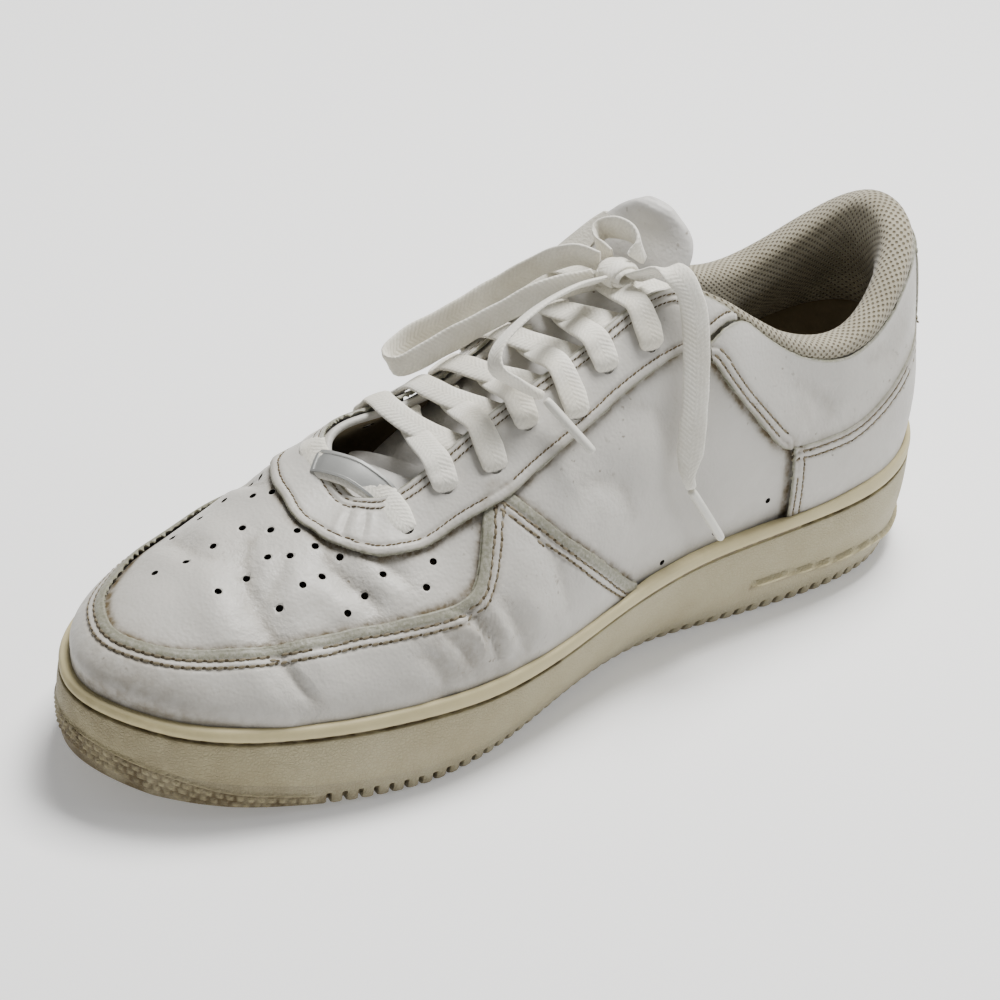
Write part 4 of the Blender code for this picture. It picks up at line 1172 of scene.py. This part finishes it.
def make_plate():
    """The plain curved plate over the lowest lace, with a raised rim."""
    path = smooth_path(PLATE_LINE, 0.5)
    run = unit(np.gradient(path, axis=0))
    face = unit(np.array(THROAT_FACE))
    side = unit(np.cross(run, face))
    normal = np.cross(side, run)
    length = run_length(path)
    half = PLATE_WIDTH / 2
    across = np.array([-1.0, -0.92, -0.80, -0.74, -0.4, 0, 0.4, 0.74, 0.80, 0.92, 1.0]) * half
    near = np.array([0, 0.3, 0.8, 1.05])
    inner = np.linspace(2.0, length[-1] - 2.0, 24)
    marks = np.concatenate([near, inner, length[-1] - near[::-1]])

    def read(grid, mark):
        return np.array([np.interp(mark, length, column) for column in grid.T])

    rows = []
    for mark in marks:
        at, up, beside = read(path, mark), read(normal, mark), read(side, mark)
        near_end = min(mark, length[-1] - mark)
        rim = np.where((np.abs(across) > 0.77 * half) | (near_end < 0.95), 0.4, 0.0)
        pull = 1 - 0.10 * (near_end < 0.2)
        rows.append(at + beside * (across * pull)[:, None] + up * (rim - 0.02 * across**2)[:, None])
    made = shaped_sheet("plate", np.array(rows))
    close_up(made)
    face_up(made, len(made.data.polygons) // 2)
    thicken(made, PLATE_THICKNESS)
    dress(made, [DULL_PLATE], ["lace_tag"], 30)


# Leather
def grime_shade_and_wear(points, foot, seam):
    """Stains and wear of the leather, and darkening that is painted shade with grime: in creases, low
    by the sole, and along seams as strong as seam.
    """
    # Darker towards the sole: a thin dark line at the joint and broader darkening low down, painted
    # shade with grime
    dirt_and_shade = 0.40 * np.exp(-foot / 1.8) + 0.13 * np.exp(-foot / 14.0)
    worn = np.zeros(foot.shape)
    for u, s, radius, strength in STAINS:
        at = upper_point(u, s)
        gap = np.linalg.norm(points - at, axis=-1)
        dirt_and_shade = dirt_and_shade + 0.5 * strength * swell(gap, radius)
    for line, width, depth in CREASE_LINES:
        gap, _ = nearest(points, line)
        # Painted shade and grime along each crease's trough
        dirt_and_shade = dirt_and_shade + 0.13 * depth * swell(gap, 0.28 * width)
        worn = np.maximum(worn, min(1.0, 0.55 * depth) * swell(gap, 1.1 * width))
    gap, _ = nearest(points, SEAM_POINTS)
    # Painted shade and grime along the panels' edges
    dirt_and_shade = dirt_and_shade + seam * swell(gap, 1.5) + 0.06 * swell(gap, 4.0)
    return np.clip(dirt_and_shade, 0, 1), worn


def make_upper():
    """The hollow upper: outer leather, rolled edge and lining, closed round the shoe."""
    u = np.linspace(0, 2, 561)[None, :]
    outer = np.linspace(0, 1, OUTER_ROWS)[:, None] * upper_end(u)
    inner = np.linspace(1, 0, 16)[:, None] * upper_end(u)
    foot = upper_point(u, 0.0)
    low = np.concatenate([foot[..., :2], (cup_floor(foot[..., 0]) + 2 * GAP)[..., None]], -1)
    side = outward(sole_top_edge, u)
    wall = np.concatenate([side * UPPER_WALL, np.zeros(side.shape[:-1] + (1,))], -1)
    face = skin(u, outer, np.zeros(outer.shape))
    back = skin(u, inner, np.full(inner.shape, -UPPER_WALL))
    up = unit(face[-1] - face[-3])
    roll = []
    for turn in ROLL_TURNS:
        middle = face[-1] * (1 - turn) + back[0] * turn
        roll.append(middle + up * 0.9 * math.sin(math.pi * turn))
    points = np.concatenate([low, face, np.array(roll), back, low - wall, low])
    made = shaped_sheet("worn_upper", points)
    level = np.zeros(u.shape)
    rolled = np.repeat(outer[-1:], len(ROLL_TURNS), 0)
    s = np.concatenate([level, outer, rolled, inner, level, level])
    run = upper_point(u, s)
    # Strong painted shade and grime along the edges of the panels that lie over the upper
    dirt_and_shade, worn = grime_shade_and_wear(run, np.maximum((run - run[:1])[..., 2], 0), 0.95)
    paint(made, "dirt_and_shade", dirt_and_shade)
    paint(made, "worn", worn)
    paint(made, "edge", 0 * dirt_and_shade)
    made.data.materials.append(WHITE_LEATHER)
    made.data.materials.append(INNER_CLOTH)
    row = np.arange(len(made.data.polygons)) // (u.shape[1] - 1)
    inside = row > OUTER_ROWS + len(ROLL_TURNS)
    made.data.polygons.foreach_set("material_index", inside.astype(int))
    close_up(made)
    return made


def punch(made, cutters):
    """Cuts holes through a piece."""
    hole = made.modifiers.new("holes", "BOOLEAN")
    hole.operation = "DIFFERENCE"
    hole.solver = "EXACT"
    hole.material_mode = "TRANSFER"
    hole.object = cutters
    choose(made)
    bpy.ops.object.modifier_apply(modifier=hole.name)


def make_cutters(name, spots, size, low, high):
    """Joined round cutters square to the upper at each spot, from low to high over its face."""
    made = []
    for u, s in spots:
        foot = place(skin(np.array(u), np.array(s), np.array(float(low))))
        head = place(skin(np.array(u), np.array(s), np.array(float(high))))
        way = Vector(head - foot)
        turn = way.to_track_quat("Z", "Y").to_euler()
        bpy.ops.mesh.primitive_cylinder_add(
            vertices=14, radius=size / 2000, depth=way.length,
            location=(foot + head) / 2, rotation=turn,
        )
        made.append(bpy.context.object)
    bpy.ops.object.select_all(action="DESELECT")
    for cutter in made:
        cutter.select_set(True)
    bpy.context.view_layer.objects.active = made[0]
    bpy.ops.object.join()
    bpy.ops.object.transform_apply(location=True, rotation=True, scale=True)
    cutters = bpy.context.object
    cutters.name = name
    # The cut walls take this finish, as painted shade inside the holes
    cutters.data.materials.append(HOLE_WALL_SHADE)
    return cutters


def discard(made):
    bpy.data.objects.remove(made, do_unlink=True)


def closer_at_edges(count, low_edge):
    """Shares from 0 to 1, closer together at the top, and at the foot too where that edge shows."""
    k = np.linspace(0, 1, count)
    if low_edge:
        return k * k * (3 - 2 * k)
    return 1 - (1 - k) ** 1.8


def make_panel(name, u, low, high, rows, edges, low_edge, base, margin=0.0):
    """A leather panel on the upper, with cut edges and a sunk line under each row of stitches.

    edges are the lines of u, s that show, each with the side that the panel is on and the places of
    its rows of stitches. base is how far its leather stands off the upper, and margin is how wide
    its raw edge shows.
    """
    t = closer_at_edges(rows, low_edge)[:, None]
    foot = low(u)[None]
    s = foot + t * (high(u)[None] - foot)
    grid_u = np.broadcast_to(u[None], s.shape)
    points = upper_point(grid_u, s)
    gap = np.full(s.shape, 99.0)
    sunk = np.zeros(s.shape)
    row_grime_and_shade = np.zeros(s.shape)
    lines = []
    for line, side, stitched in edges:
        fine = upper_point(line[:, 0], line[:, 1])
        marks = evenly(np.column_stack([fine, line]), 0.6)
        lines.append((marks, side, stitched))
        own = nearest(points, marks[:, :3])[0]
        gap = np.minimum(gap, own)
        for row in stitched:
            sunk = sunk + 0.32 * swell(own - row, 0.55)
            # Painted shade and grime in the sunk line under each row of stitches
            row_grime_and_shade = row_grime_and_shade + 0.30 * swell(own - row, 0.65)
        if len(stitched) > 1:
            sunk = sunk - 0.12 * swell(own - sum(stitched) / 2, 0.75)
        if stitched:
            sunk = sunk - 0.18 * swell(own - stitched[0] * 0.55, 0.8)
    reach = np.clip(gap / 0.75, 0, 1)
    height = PANEL_THICKNESS * (1 - (1 - reach) ** 3.0) ** (1 / 3.0) - 0.12 - sunk
    height = height + base(grid_u, s)
    made = shaped_sheet(name, skin(grid_u, s, height))
    over_foot = (points - upper_point(u, 0.0)[None])[..., 2]
    # Painted shade and grime along the panels' edges, weaker than on the upper
    dirt_and_shade, worn = grime_shade_and_wear(points, np.maximum(over_foot, 0), 0.45)
    paint(made, "dirt_and_shade", np.clip(0.8 * dirt_and_shade + row_grime_and_shade, 0, 1))
    paint(made, "worn", worn)
    raw = np.clip(1.25 - gap / 0.75, 0, 1)
    if margin:
        raw = np.maximum(raw, 0.9 * np.clip((margin - gap) / 0.7, 0, 1))
    paint(made, "edge", raw)
    close_up(made, flip=True)
    thicken(made, 0.5)
    return made, lines


def stitch_template():
    """One stitch, lying along X and one unit long, as points and faces."""
    bpy.ops.mesh.primitive_uv_sphere_add(segments=8, ring_count=5, radius=0.5)
    seed = bpy.context.object
    corners = np.array([v.co[:] for v in seed.data.vertices])
    faces = [tuple(p.vertices) for p in seed.data.polygons]
    discard(seed)
    return np.stack([corners[:, 2], corners[:, 0], corners[:, 1]], -1), faces


STITCH_POINTS, STITCH_FACES = stitch_template()


def sew(
    name, ground, lines, thread,
    pitch=STITCH_PITCH, size=(0.95, 0.72, 0.5), tilt=0.16, lift=2.0,
):
    """Rows of stitches laid on a finished piece.

    size is a stitch's width, its share of the pitch and its height. tilt is how much it slants, and
    lift is how far over the bare upper the row is looked for.
    """
    tree = BVHTree.FromObject(ground, bpy.context.evaluated_depsgraph_get())
    verts = []
    faces = []
    marks_of = []
    for marks, side, stitched in lines:
        for row in stitched:
            points = marks[:, :3]
            run = unit(np.gradient(points, axis=0))
            normal = upper_normal(marks[:, 3], marks[:, 4])
            line = points + side * row * np.cross(normal, run) + normal * lift
            spots = evenly(line, pitch)
            ways = unit(np.gradient(spots, axis=0))
            for at, way in zip(spots, ways):
                lay_stitch(tree, at, way, pitch, size, tilt, verts, faces, marks_of)
    mesh = bpy.data.meshes.new(name)
    mesh.from_pydata(np.concatenate(verts).tolist(), [], faces)
    mesh.materials.append(thread)
    mesh.materials.append(NEEDLE_HOLE_SHADE)
    mesh.polygons.foreach_set("material_index", np.repeat(marks_of, len(STITCH_FACES)))
    mesh.update()
    made = bpy.data.objects.new(name, mesh)
    bpy.context.scene.collection.objects.link(made)
    choose(made)
    bpy.ops.object.shade_smooth()
    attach(made, "root")
    return made


def lay_stitch(tree, at, way, pitch, size, tilt, verts, faces, marks_of):
    """One stitch and, on leather, a flat dark dome behind it that paints the shade of its needle
    hole.
    """
    found, normal, _, gap = tree.find_nearest(Vector(place(at)))
    if found is None or gap > STITCH_REACH / 1000:
        return
    width, long, height = size
    normal = np.array(normal)
    forward = np.array([way[1], -way[0], way[2]])
    forward = unit(forward - normal * (forward @ normal))
    across = np.cross(normal, forward)
    slant = unit(forward + tilt * across)
    beside = np.cross(normal, slant)
    found = np.array(found)
    kinds = [(0, found + normal * 0.00008, pitch * long, width, height)]
    # On leather, a flat dark dome behind the stitch: painted shade of its needle hole
    if tilt:
        kinds.append((1, found - forward * pitch / 2000, pitch * 0.42, width * 1.0, 0.16))
    for kind, middle, length, wide, high in kinds:
        start = sum(len(v) for v in verts)
        scale = np.array([length, wide, high]) / 1000
        verts.append(middle + (STITCH_POINTS * scale) @ np.array([slant, beside, normal]))
        faces.extend(tuple(start + i for i in face) for face in STITCH_FACES)
        marks_of.append(kind)


def line_of(function, first, last, count=400):
    """The line u, function(u) between two stations."""
    u = np.linspace(first, last, count)
    return np.stack([u, function(u)], -1)


def fine_stations(first, last, spacing=1.15, ends=False):
    """Stations about that far apart along the sole's edge, closer at the ends where they show."""
    u = np.linspace(first, last, 1200)
    run = sole_top_edge(u)
    length = run_length(run)
    marks = np.linspace(0, length[-1], round(length[-1] / spacing))
    if ends:
        near = np.array([0, 0.06, 0.15, 0.3, 0.5, 0.8])
        marks = np.unique(np.concatenate([marks[1:-1], near, length[-1] - near]))
    return np.interp(marks, length, u)


def make_leather():
    """The upper and its panels, with the holes punched through them."""
    eyelets = [(side * u, s) for side in (1, -1) for u, s in EYELETS]
    cutters = (
        make_cutters("hole_cutters", TOE_HOLES, *HOLE_CUT),
        make_cutters("vent_cutters", VENTS, *VENT_CUT),
        make_cutters("eyelet_cutters", eyelets, *EYELET_CUT),
    )
    upper = make_upper()
    for cutter in cutters:
        punch(upper, cutter)
    dress(upper, [], ["upper"])
    make_toe_panel()
    make_eyestay(cutters[2])
    make_collar_panel()
    make_heel_counter()
    make_heel_tab()
    for cutter in cutters:
        discard(cutter)


def cut_end(end, foot, top, count, row):
    """The edge of a panel that is cut straight up at one station, with its side and stitches."""
    s = np.linspace(foot, top, count)
    return np.stack([np.full(count, end), s], -1), -1 if end > 0 else 1, row


def toe_base(u, s):
    """The toe panel is skived thin where it runs under the eyestay."""
    return -0.9 * swell(from_heel(u) - PANEL_CORNER, 0.03) * np.clip((s - 0.6) / 0.08, 0, 1)


def stay_base(u, s):
    """The eyestay lifts a little over the toe panel's corner."""
    return 0.9 * swell(from_heel(u) - PANEL_CORNER, 0.03) * np.clip((0.80 - s) / 0.08, 0, 1)


def make_toe_panel():
    u = fine_stations(TOE_PANEL_END, 2 - TOE_PANEL_END)
    edge = [(line_of(toe_panel_edge, TOE_PANEL_END, 2 - TOE_PANEL_END, 1600), 1, TOE_ROWS)]
    foot = level_line(PANEL_FOOT)
    toe, lines = make_panel(
        "toe_panel_leather", u, foot, toe_panel_edge, 56, edge, False, toe_base, RAW_MARGIN
    )
    dress(toe, [WHITE_LEATHER], ["toe_panel"])
    sew("toe_stitches", toe, lines, THREAD)


def make_eyestay(eyes):
    """The facing round the throat, with its eyelets punched and its lower and inner rows sewn."""
    rim = level_line(THROAT_RIM)
    u = fine_stations(EYESTAY_END, 2 - EYESTAY_END)
    edge = [
        (line_of(eyestay_edge, EYESTAY_END, 2 - EYESTAY_END, 1600), -1, EYESTAY_ROW),
        (line_of(rim, THROAT_SEWN_END, 2 - THROAT_SEWN_END, 800), 1, THROAT_ROWS),
        (line_of(rim, EYESTAY_END, THROAT_SEWN_END, 60), 1, ()),
        (line_of(rim, 2 - THROAT_SEWN_END, 2 - EYESTAY_END, 60), 1, ()),
    ]
    stay, lines = make_panel("eyestay_leather", u, eyestay_edge, rim, 48, edge, True, stay_base)
    stay.data.materials.append(WHITE_LEATHER)
    punch(stay, eyes)
    dress(stay, [], ["eyestay"])
    sew("eyestay_stitches", stay, lines[:1], DARK_THREAD, size=(0.6, 0.62, 0.4))
    sew("throat_stitches", stay, lines[1:2], DARK_THREAD, size=(0.5, 0.6, 0.35))


def make_collar_panel():
    u = fine_stations(-COLLAR_PANEL_END, COLLAR_PANEL_END)
    edge = [
        (line_of(collar_panel_edge, -COLLAR_PANEL_END, -COLLAR_SEWN_END, 300), -1, DOUBLE_ROW),
        (line_of(collar_panel_edge, COLLAR_SEWN_END, COLLAR_PANEL_END, 300), -1, DOUBLE_ROW),
        (line_of(collar_panel_edge, -COLLAR_SEWN_END, COLLAR_SEWN_END, 900), -1, ()),
        (line_of(collar_panel_top, -COLLAR_PANEL_END, COLLAR_PANEL_END, 900), 1, ()),
    ]
    collar, lines = make_panel(
        "collar_panel_leather", u, collar_panel_edge, collar_panel_top, 44, edge, True,
        lambda u, s: COLLAR_PANEL_LIFT,
    )
    dress(collar, [WHITE_LEATHER], ["collar_panel"])
    sew("collar_stitches", collar, lines[:2], THREAD)


def make_heel_counter():
    u = fine_stations(-COUNTER_END, COUNTER_END, ends=True)
    edge = [(line_of(counter_top, -COUNTER_END, COUNTER_END, 1000), 1, DOUBLE_ROW)]
    for end in (-COUNTER_END, COUNTER_END):
        edge.append(cut_end(end, PANEL_FOOT, float(counter_top(end)), 60, DOUBLE_ROW))
    counter, lines = make_panel(
        "heel_counter_leather", u, level_line(PANEL_FOOT), counter_top, 46, edge, False,
        lambda u, s: COUNTER_LIFT,
    )
    dress(counter, [WHITE_LEATHER], ["heel_counter"])
    sew("counter_stitches", counter, lines, THREAD)


def make_heel_tab():
    low = level_line(TAB_FOOT)
    high = level_line(TAB_TOP)
    u = fine_stations(-TAB_END, TAB_END, ends=True)
    edge = [
        (line_of(low, -TAB_END, TAB_END), -1, TAB_ROW),
        (line_of(high, -TAB_END, TAB_END), 1, TAB_ROW),
    ]
    for end in (-TAB_END, TAB_END):
        edge.append(cut_end(end, TAB_FOOT, TAB_TOP, 90, TAB_ROW))
    tab, lines = make_panel(
        "heel_tab_leather", u, low, high, 44, edge, True, lambda u, s: TAB_LIFT
    )
    dress(tab, [WHITE_LEATHER], ["heel_tab"])
    sew("tab_stitches", tab, lines, THREAD)


# Padded pieces
def make_collar_lining():
    """The padded roll of knitted lining that stands over the collar's edge and rolls over it."""
    u = np.linspace(-LINING_END, LINING_END, 320)
    share = np.minimum(1.0, (LINING_END + 0.03 - np.abs(u)) / 0.12)
    s = np.array([row[0] for row in LINING_PROFILE])
    fill = np.array([row[1] for row in LINING_PROFILE])
    back = bare_skin(u[None], s[:, None], np.full((len(s), 1), -UPPER_WALL + 0.1))
    pad = 1.0 + LINING_PAD * fill[:, None] * share[None]
    front = bare_skin(u[None], s[:, None], -UPPER_WALL - 0.4 - pad)
    up = unit(upper_point(u, 1.0) - upper_point(u, 0.99)) * LINING_RISE * share[:, None]
    flat = np.ones(u.shape)
    outside = [bare_skin(u, 0.958 * flat, 0.2 * flat), bare_skin(u, 0.99 * flat, 0.5 + 1.2 * share)]
    lip = bare_skin(u, 1.0 * flat, 0.5 + 1.4 * share)
    over = [
        lip + up * 0.35, bare_skin(u, 1.0 * flat, 0.2 + 0.5 * share) + up * 0.80,
        (lip * 0.4 + front[-1] * 0.6) + up * 1.0, lip * 0.15 + front[-1] * 0.85 + up * 0.72,
    ]
    profile = np.concatenate([back[:-1], outside, over, front[::-1], back[:1]])
    rows = np.stack([resample(profile[:, i], 72) for i in range(len(u))], 1)
    made = shaped_sheet("padded_collar", rows, millimetres(rows))
    # Painted shade on the lining, darker down its inner face into the shoe
    paint(made, "dirt_and_shade", np.broadcast_to(np.linspace(0.0, 0.9, 72)[:, None] ** 2, rows.shape[:2]))
    close_up(made)
    dress(made, [KNIT_LINING], ["collar_lining"])


def millimetres(rows):
    """A flat map of a grid of points, by the lengths of its middle row and column."""
    middle_row = rows[len(rows) // 2]
    middle_column = rows[:, rows.shape[1] // 2]
    return np.stack(np.meshgrid(run_length(middle_row), run_length(middle_column)), -1)


def resample(profile, count):
    """A smooth curve through a run of points, as that many points."""
    fine = smooth_path(profile, 0.5)
    marks = np.linspace(0, len(fine) - 1, count)
    return np.stack([np.interp(marks, np.arange(len(fine)), column) for column in fine.T], -1)


def tongue_face(fine, across):
    """Points on the tongue's face and the way each row faces, from rows of its edges and middle."""
    half = (fine[:, 2] - fine[:, 0]) / 2
    bow = (fine[:, 0] + fine[:, 2]) / 2 - fine[:, 1]
    t = across[None, :, None]
    face = fine[:, None, 1] + t * half[:, None] + t**2 * bow[:, None]
    normal = np.cross(np.gradient(fine[:, 1], axis=0), half)
    normal = unit(normal * np.sign(normal @ np.array(TONGUE_FACE))[:, None])
    return face, np.broadcast_to(normal[:, None], face.shape)


def make_tongue():
    """The padded tongue, from under the throat's lower end to its rounded free top."""
    table = np.array(TONGUE_ROWS, float).reshape(len(TONGUE_ROWS), 9)
    marks = np.linspace(0, len(table) - 1, 120)
    fine = resample_rows(table, marks).reshape(-1, 3, 3)
    angle = np.linspace(0, 2 * math.pi, 81)
    across = squared_off(np.cos(angle), 0.7)
    depth = squared_off(np.sin(angle), 0.75)
    face, normal = tongue_face(fine, across)
    end = np.clip((len(table) - 1 - marks) / 1.0, 0.03, 1)[:, None] ** 0.5
    puff = 0.35 * np.sin(marks * 2.3)[:, None] * np.cos(across * 2.2)[None] * (depth > 0)
    down = TONGUE_THICKNESS / 2 * (depth[None] * end - 1) + puff * end
    rows = face + normal * down[..., None]
    first, last = (np.broadcast_to(rows[k].mean(0), rows[:1].shape) for k in (0, -1))
    rows = np.concatenate([first, rows, last])
    made = shaped_sheet("padded_tongue", rows)
    paint(made, "dirt_and_shade", np.full(rows.shape[:2], 0.06))
    paint(made, "edge", np.zeros(rows.shape[:2]))
    paint(made, "worn", np.full(rows.shape[:2], 0.25))
    close_up(made)
    dress(made, [SOFT_LEATHER], ["tongue"])
    make_tongue_binding(table)


def make_tongue_binding(table):
    """The strip of cloth that binds the tongue's lateral edge and rolls under it."""
    marks = np.linspace(6.2, len(table) - 4.2, 80)
    fine = resample_rows(table, marks).reshape(-1, 3, 3)
    wide = 2 * BINDING_WIDTH / np.linalg.norm(fine[:, 2] - fine[:, 0], axis=1)[:, None]
    turn = np.linspace(0, 1, 14)
    strip = []
    for i in range(len(marks)):
        across = -1.0 + wide[i] * np.clip((turn - 0.3) / 0.7, 0, 1)
        face, normal = tongue_face(fine[max(i - 1, 0) : i + 2], across)
        k = min(i, 1)
        side = unit(fine[i, 0] - fine[i, 2])
        fall = np.clip((0.3 - turn) / 0.3, 0, 1)
        down = 0.55 - (TONGUE_THICKNESS + 0.4) * fall**1.3
        bulge = side * (0.7 * np.sin(math.pi * fall))[:, None]
        strip.append(face[k] + normal[k] * down[:, None] + bulge)
    made = shaped_sheet("tongue_binding", np.array(strip))
    close_up(made)
    face_up(made, len(made.data.polygons) // 2 + 6)
    thicken(made, BINDING_THICKNESS)
    dress(made, [BINDING])


def resample_rows(table, marks):
    """Rows of a table read at marks between them, on a smooth curve."""
    padded = np.vstack([2 * table[0] - table[1], table, 2 * table[-1] - table[-2]])
    i = np.minimum(marks.astype(int), len(table) - 2)
    return spline(padded[i], padded[i + 1], padded[i + 2], padded[i + 3], (marks - i)[:, None])


# Sole
def sole_piece(name, node, rows):
    """A closed piece of the sole from rows of points, each with its grime and painted shade, its
    yellowing and painted highlights, and its pebble.
    """
    made = shaped_sheet(name, np.array([row[0] for row in rows]))
    for k, kept in enumerate(("dirt_and_shade", "yellowing_and_highlight", "pebble"), 1):
        paint(made, kept, np.array([np.broadcast_to(row[k], row[0].shape[:1]) for row in rows]))
    close_up(made)
    return dress(made, [SOLE_RUBBER], [node])


def near_toe(u):
    return swell(u - 1, 0.2)


def sole_grime_and_shade(u, above):
    """Grime and painted shade of the sole's side: painted shade in the slots, in the knurl's hollows
    and under the heel ridge, and darker low down and at the toe with grime.
    """
    # Darker low down, most at the toe: grime with painted shade
    low = 0.30 * np.exp(-above / 4.0) + (0.08 + 0.5 * near_toe(u)) * np.exp(-above / 9.0)
    relief = sole_relief(u, above)
    around = from_heel(u)
    under = bumper_line(u) - above
    # Painted shade in the hollows of the knurl
    hollow = (around > 0.835) * (under > 0.3) * (under < 8) * np.clip(0.5 - relief, 0, 0.5)
    beneath = heel_ridge(u) - RIDGE_HEIGHT / 2 - above - sole_bottom(tread_edge(u)[:, 0])
    shade = 0.5 * (around < RIDGE_END) * swell(np.maximum(beneath - 0.3, 0), 1.1) * (beneath > -0.6)
    # Painted shade and grime at the toe's tip
    tip = 0.42 * swell(u - 1.05, 0.13)
    # The slots darkened as well, as painted shade
    return np.clip(low + 0.34 * np.clip(-relief, 0, 2) + 0.9 * hollow + shade + tip, 0, 1)


def make_midsole():
    """The cupsole's side: pebbled wall, stitched groove, smooth rand and ledge."""
    u = sole_stations()
    foot = sole_bottom(tread_edge(u)[:, 0])
    head = sole_top(sole_top_edge(u)[:, 0])
    lift, drop = rand(u).T
    top = head + lift
    groove = head - drop
    seam = foot + outsole_band(tread_edge(u)[:, 0])
    around = from_heel(u)
    faint = np.where((around > 0.3) & (around < 0.6), 0.55, 1.0)
    # Weights at the toe and its tip: yellowing at the toe, and darkening at both that is painted
    # shade with grime
    toe_browning_and_shade = near_toe(u)
    tip = 0.3 * swell(u - 1.05, 0.1)
    rows = []

    def row(z, inset, dirt_and_shade, yellowing_and_highlight, pebble):
        rows.append((side_point(u, z - foot, inset), dirt_and_shade, yellowing_and_highlight, pebble))

    row(seam, 3.0 + 0 * u, 0.6, 0.0, 0.0)
    for share in np.linspace(0, 1, 24):
        z = seam + (groove - 0.8 - seam) * share
        # Painted shade just under the stitched groove
        near = 0.35 * np.exp(-((groove - 0.6 - z) / 0.8))
        # Some yellowing, more at the toe, with painted highlights on the raised ridges
        highlight_and_yellowing = 0.12 + 0.15 * toe_browning_and_shade + 0.35 * np.clip(sole_relief(u, z - foot), 0, 1)
        row(z, 0 * u, np.clip(sole_grime_and_shade(u, z - foot) + near * faint, 0, 1), highlight_and_yellowing, 1.0)
    for above, inset, dirt_and_shade in GROOVE_PROFILE:
        row(groove + above, inset * faint, dirt_and_shade * faint, 0.4, 0.0)
    for share in np.linspace(0.06, 0.94, 9):
        z = groove + 0.62 + (top - 0.4 - groove - 0.62) * share
        swollen = -0.28 * math.sin(math.pi * share) + 0 * u
        # The rand: yellowing, more at the toe, and darker at the toe and its tip, painted shade with
        # grime
        row(z, swollen, 0.08 + 0.10 * toe_browning_and_shade + tip, 0.6 + 0.4 * toe_browning_and_shade, 0.06)
    inner = ledge(u)
    row(top - 0.30, 0.12 + 0 * u, 0.10, 0.65, 0.0)
    row(top - 0.08, 0.45 + 0 * u, 0.12, 0.65, 0.0)
    row(top, 1.0 + 0 * u, 0.2, 0.65, 0.0)
    # The ledge and the cup's inside darken where the upper comes down into the sole: painted shade
    # with grime
    row(top, inner - 0.35, 0.35, 0.6, 0.0)
    row(top - 0.15, inner, 0.8, 0.5, 0.0)
    row(top - 1.0, inner + 0.1, 1.0, 0.4, 0.0)
    row(top - 3.0, np.maximum(inner + 0.2, 2.4), 1.0, 0.0, 0.0)
    row(top - 4.2, LIP + 0 * u, 1.0, 0.0, 0.0)
    row(head - CUP_DEPTH, LIP + 0 * u, 1.0, 0.0, 0.0)
    row(seam, 9.0 + 0 * u, 0.8, 0.0, 0.0)
    row(seam, 3.0 + 0 * u, 0.6, 0.0, 0.0)
    made = sole_piece("cupsole_wall", "midsole", rows)
    line = side_point(u, groove - foot, 0.95 * faint)
    marks = np.column_stack([line, u, 0 * u])
    sew(
        "sole_stitches", made, [(marks, 1, (0.0,))], THREAD,
        SOLE_STITCH_PITCH, (0.75, 0.7, 0.5), tilt=0.0, lift=0.0,
    )


def make_tread():
    """The tread: the toothed and knurled edge, and flat lands with cross grooves underneath."""
    u = sole_stations()
    edge = tread_edge(u)
    foot = sole_bottom(edge[:, 0])
    band_height = outsole_band(edge[:, 0])
    rows = []

    def middle(points):
        return (points + points[::-1]) / 2

    inside = sole_wall(u, foot + band_height, 3.0 + 0 * u)
    rows.append((middle(inside), 0.5, 0.0, 0.0))
    rows.append((inside, 0.5, 0.0, 0.0))
    for share in np.linspace(1, 0, 24):
        above = 1.2 + (band_height - 1.2) * share
        # Slight yellowing, and painted highlights on the knurl, the line over it and the heel ridge
        highlight_and_yellowing = 0.05 + 0.4 * np.clip(sole_relief(u, above), 0, 1)
        rows.append((side_point(u, above), sole_grime_and_shade(u, above), highlight_and_yellowing, 1.0))
    for above in (0.8, 0.45, 0.18, 0.0):
        inset = 1.2 * (1 - above / 1.2) ** 2
        rows.append((side_point(u, above + 0 * u, inset), sole_grime_and_shade(u, above + 0 * u), 0.0, 0.7))
    rim = sole_wall(u, foot, 3.4 + 0 * u)
    centre = middle(rim)
    for share in np.linspace(0, 1, 26) ** 1.2:
        points = rim * (1 - share) + centre * share
        off = np.abs(points[:, :1] - np.array(TREAD_GROOVES)).min(1)
        reach = np.where(points[:, 0] > 120, 32, 20) - np.abs(points[:, 1])
        cut = TREAD_DEPTH * np.clip((TREAD_GROOVE / 2 - off) / 0.5 + 0.5, 0, 1)
        cut = cut * np.clip(reach / 1.5, 0, 1)
        points[:, 2] = sole_bottom(points[:, 0]) + cut
        # Grime underneath, darker in the cross grooves with painted shade
        rows.append((points, 0.45 + 0.2 * (cut > 0.5), 0.0, 0.6))
    sole_piece("toothed_tread", "outsole", rows)


def make_insole():
    """The footbed, its edge turned up a little against the upper."""
    u = np.linspace(0.004, 0.996, 150)
    across = np.linspace(-1, 1, 41)
    inset = LIP + UPPER_WALL + 1.2
    left = sole_top_edge(-u) - inset * outward(sole_top_edge, -u)
    right = sole_top_edge(u) - inset * outward(sole_top_edge, u)
    share = (across + 1) / 2
    level = left[:, None] + (right - left)[:, None] * share[None, :, None]
    z = cup_floor(level[..., 0]) + 4.0 + 2.2 * np.abs(across[None]) ** 7
    rows = np.concatenate([level, z[..., None]], -1)
    made = shaped_sheet("footbed", rows, millimetres(rows))
    paint(made, "dirt_and_shade", 0.75 + 0 * z)
    close_up(made, flip=True)
    face_up(made)
    thicken(made, INSOLE_THICKNESS)
    dress(made, [KNIT_LINING], ["insole"])


make_camera()
make_cords()
make_knot()
make_laces()
make_leather()
make_collar_lining()
make_tongue()
make_midsole()
make_tread()
make_insole()
make_stage()
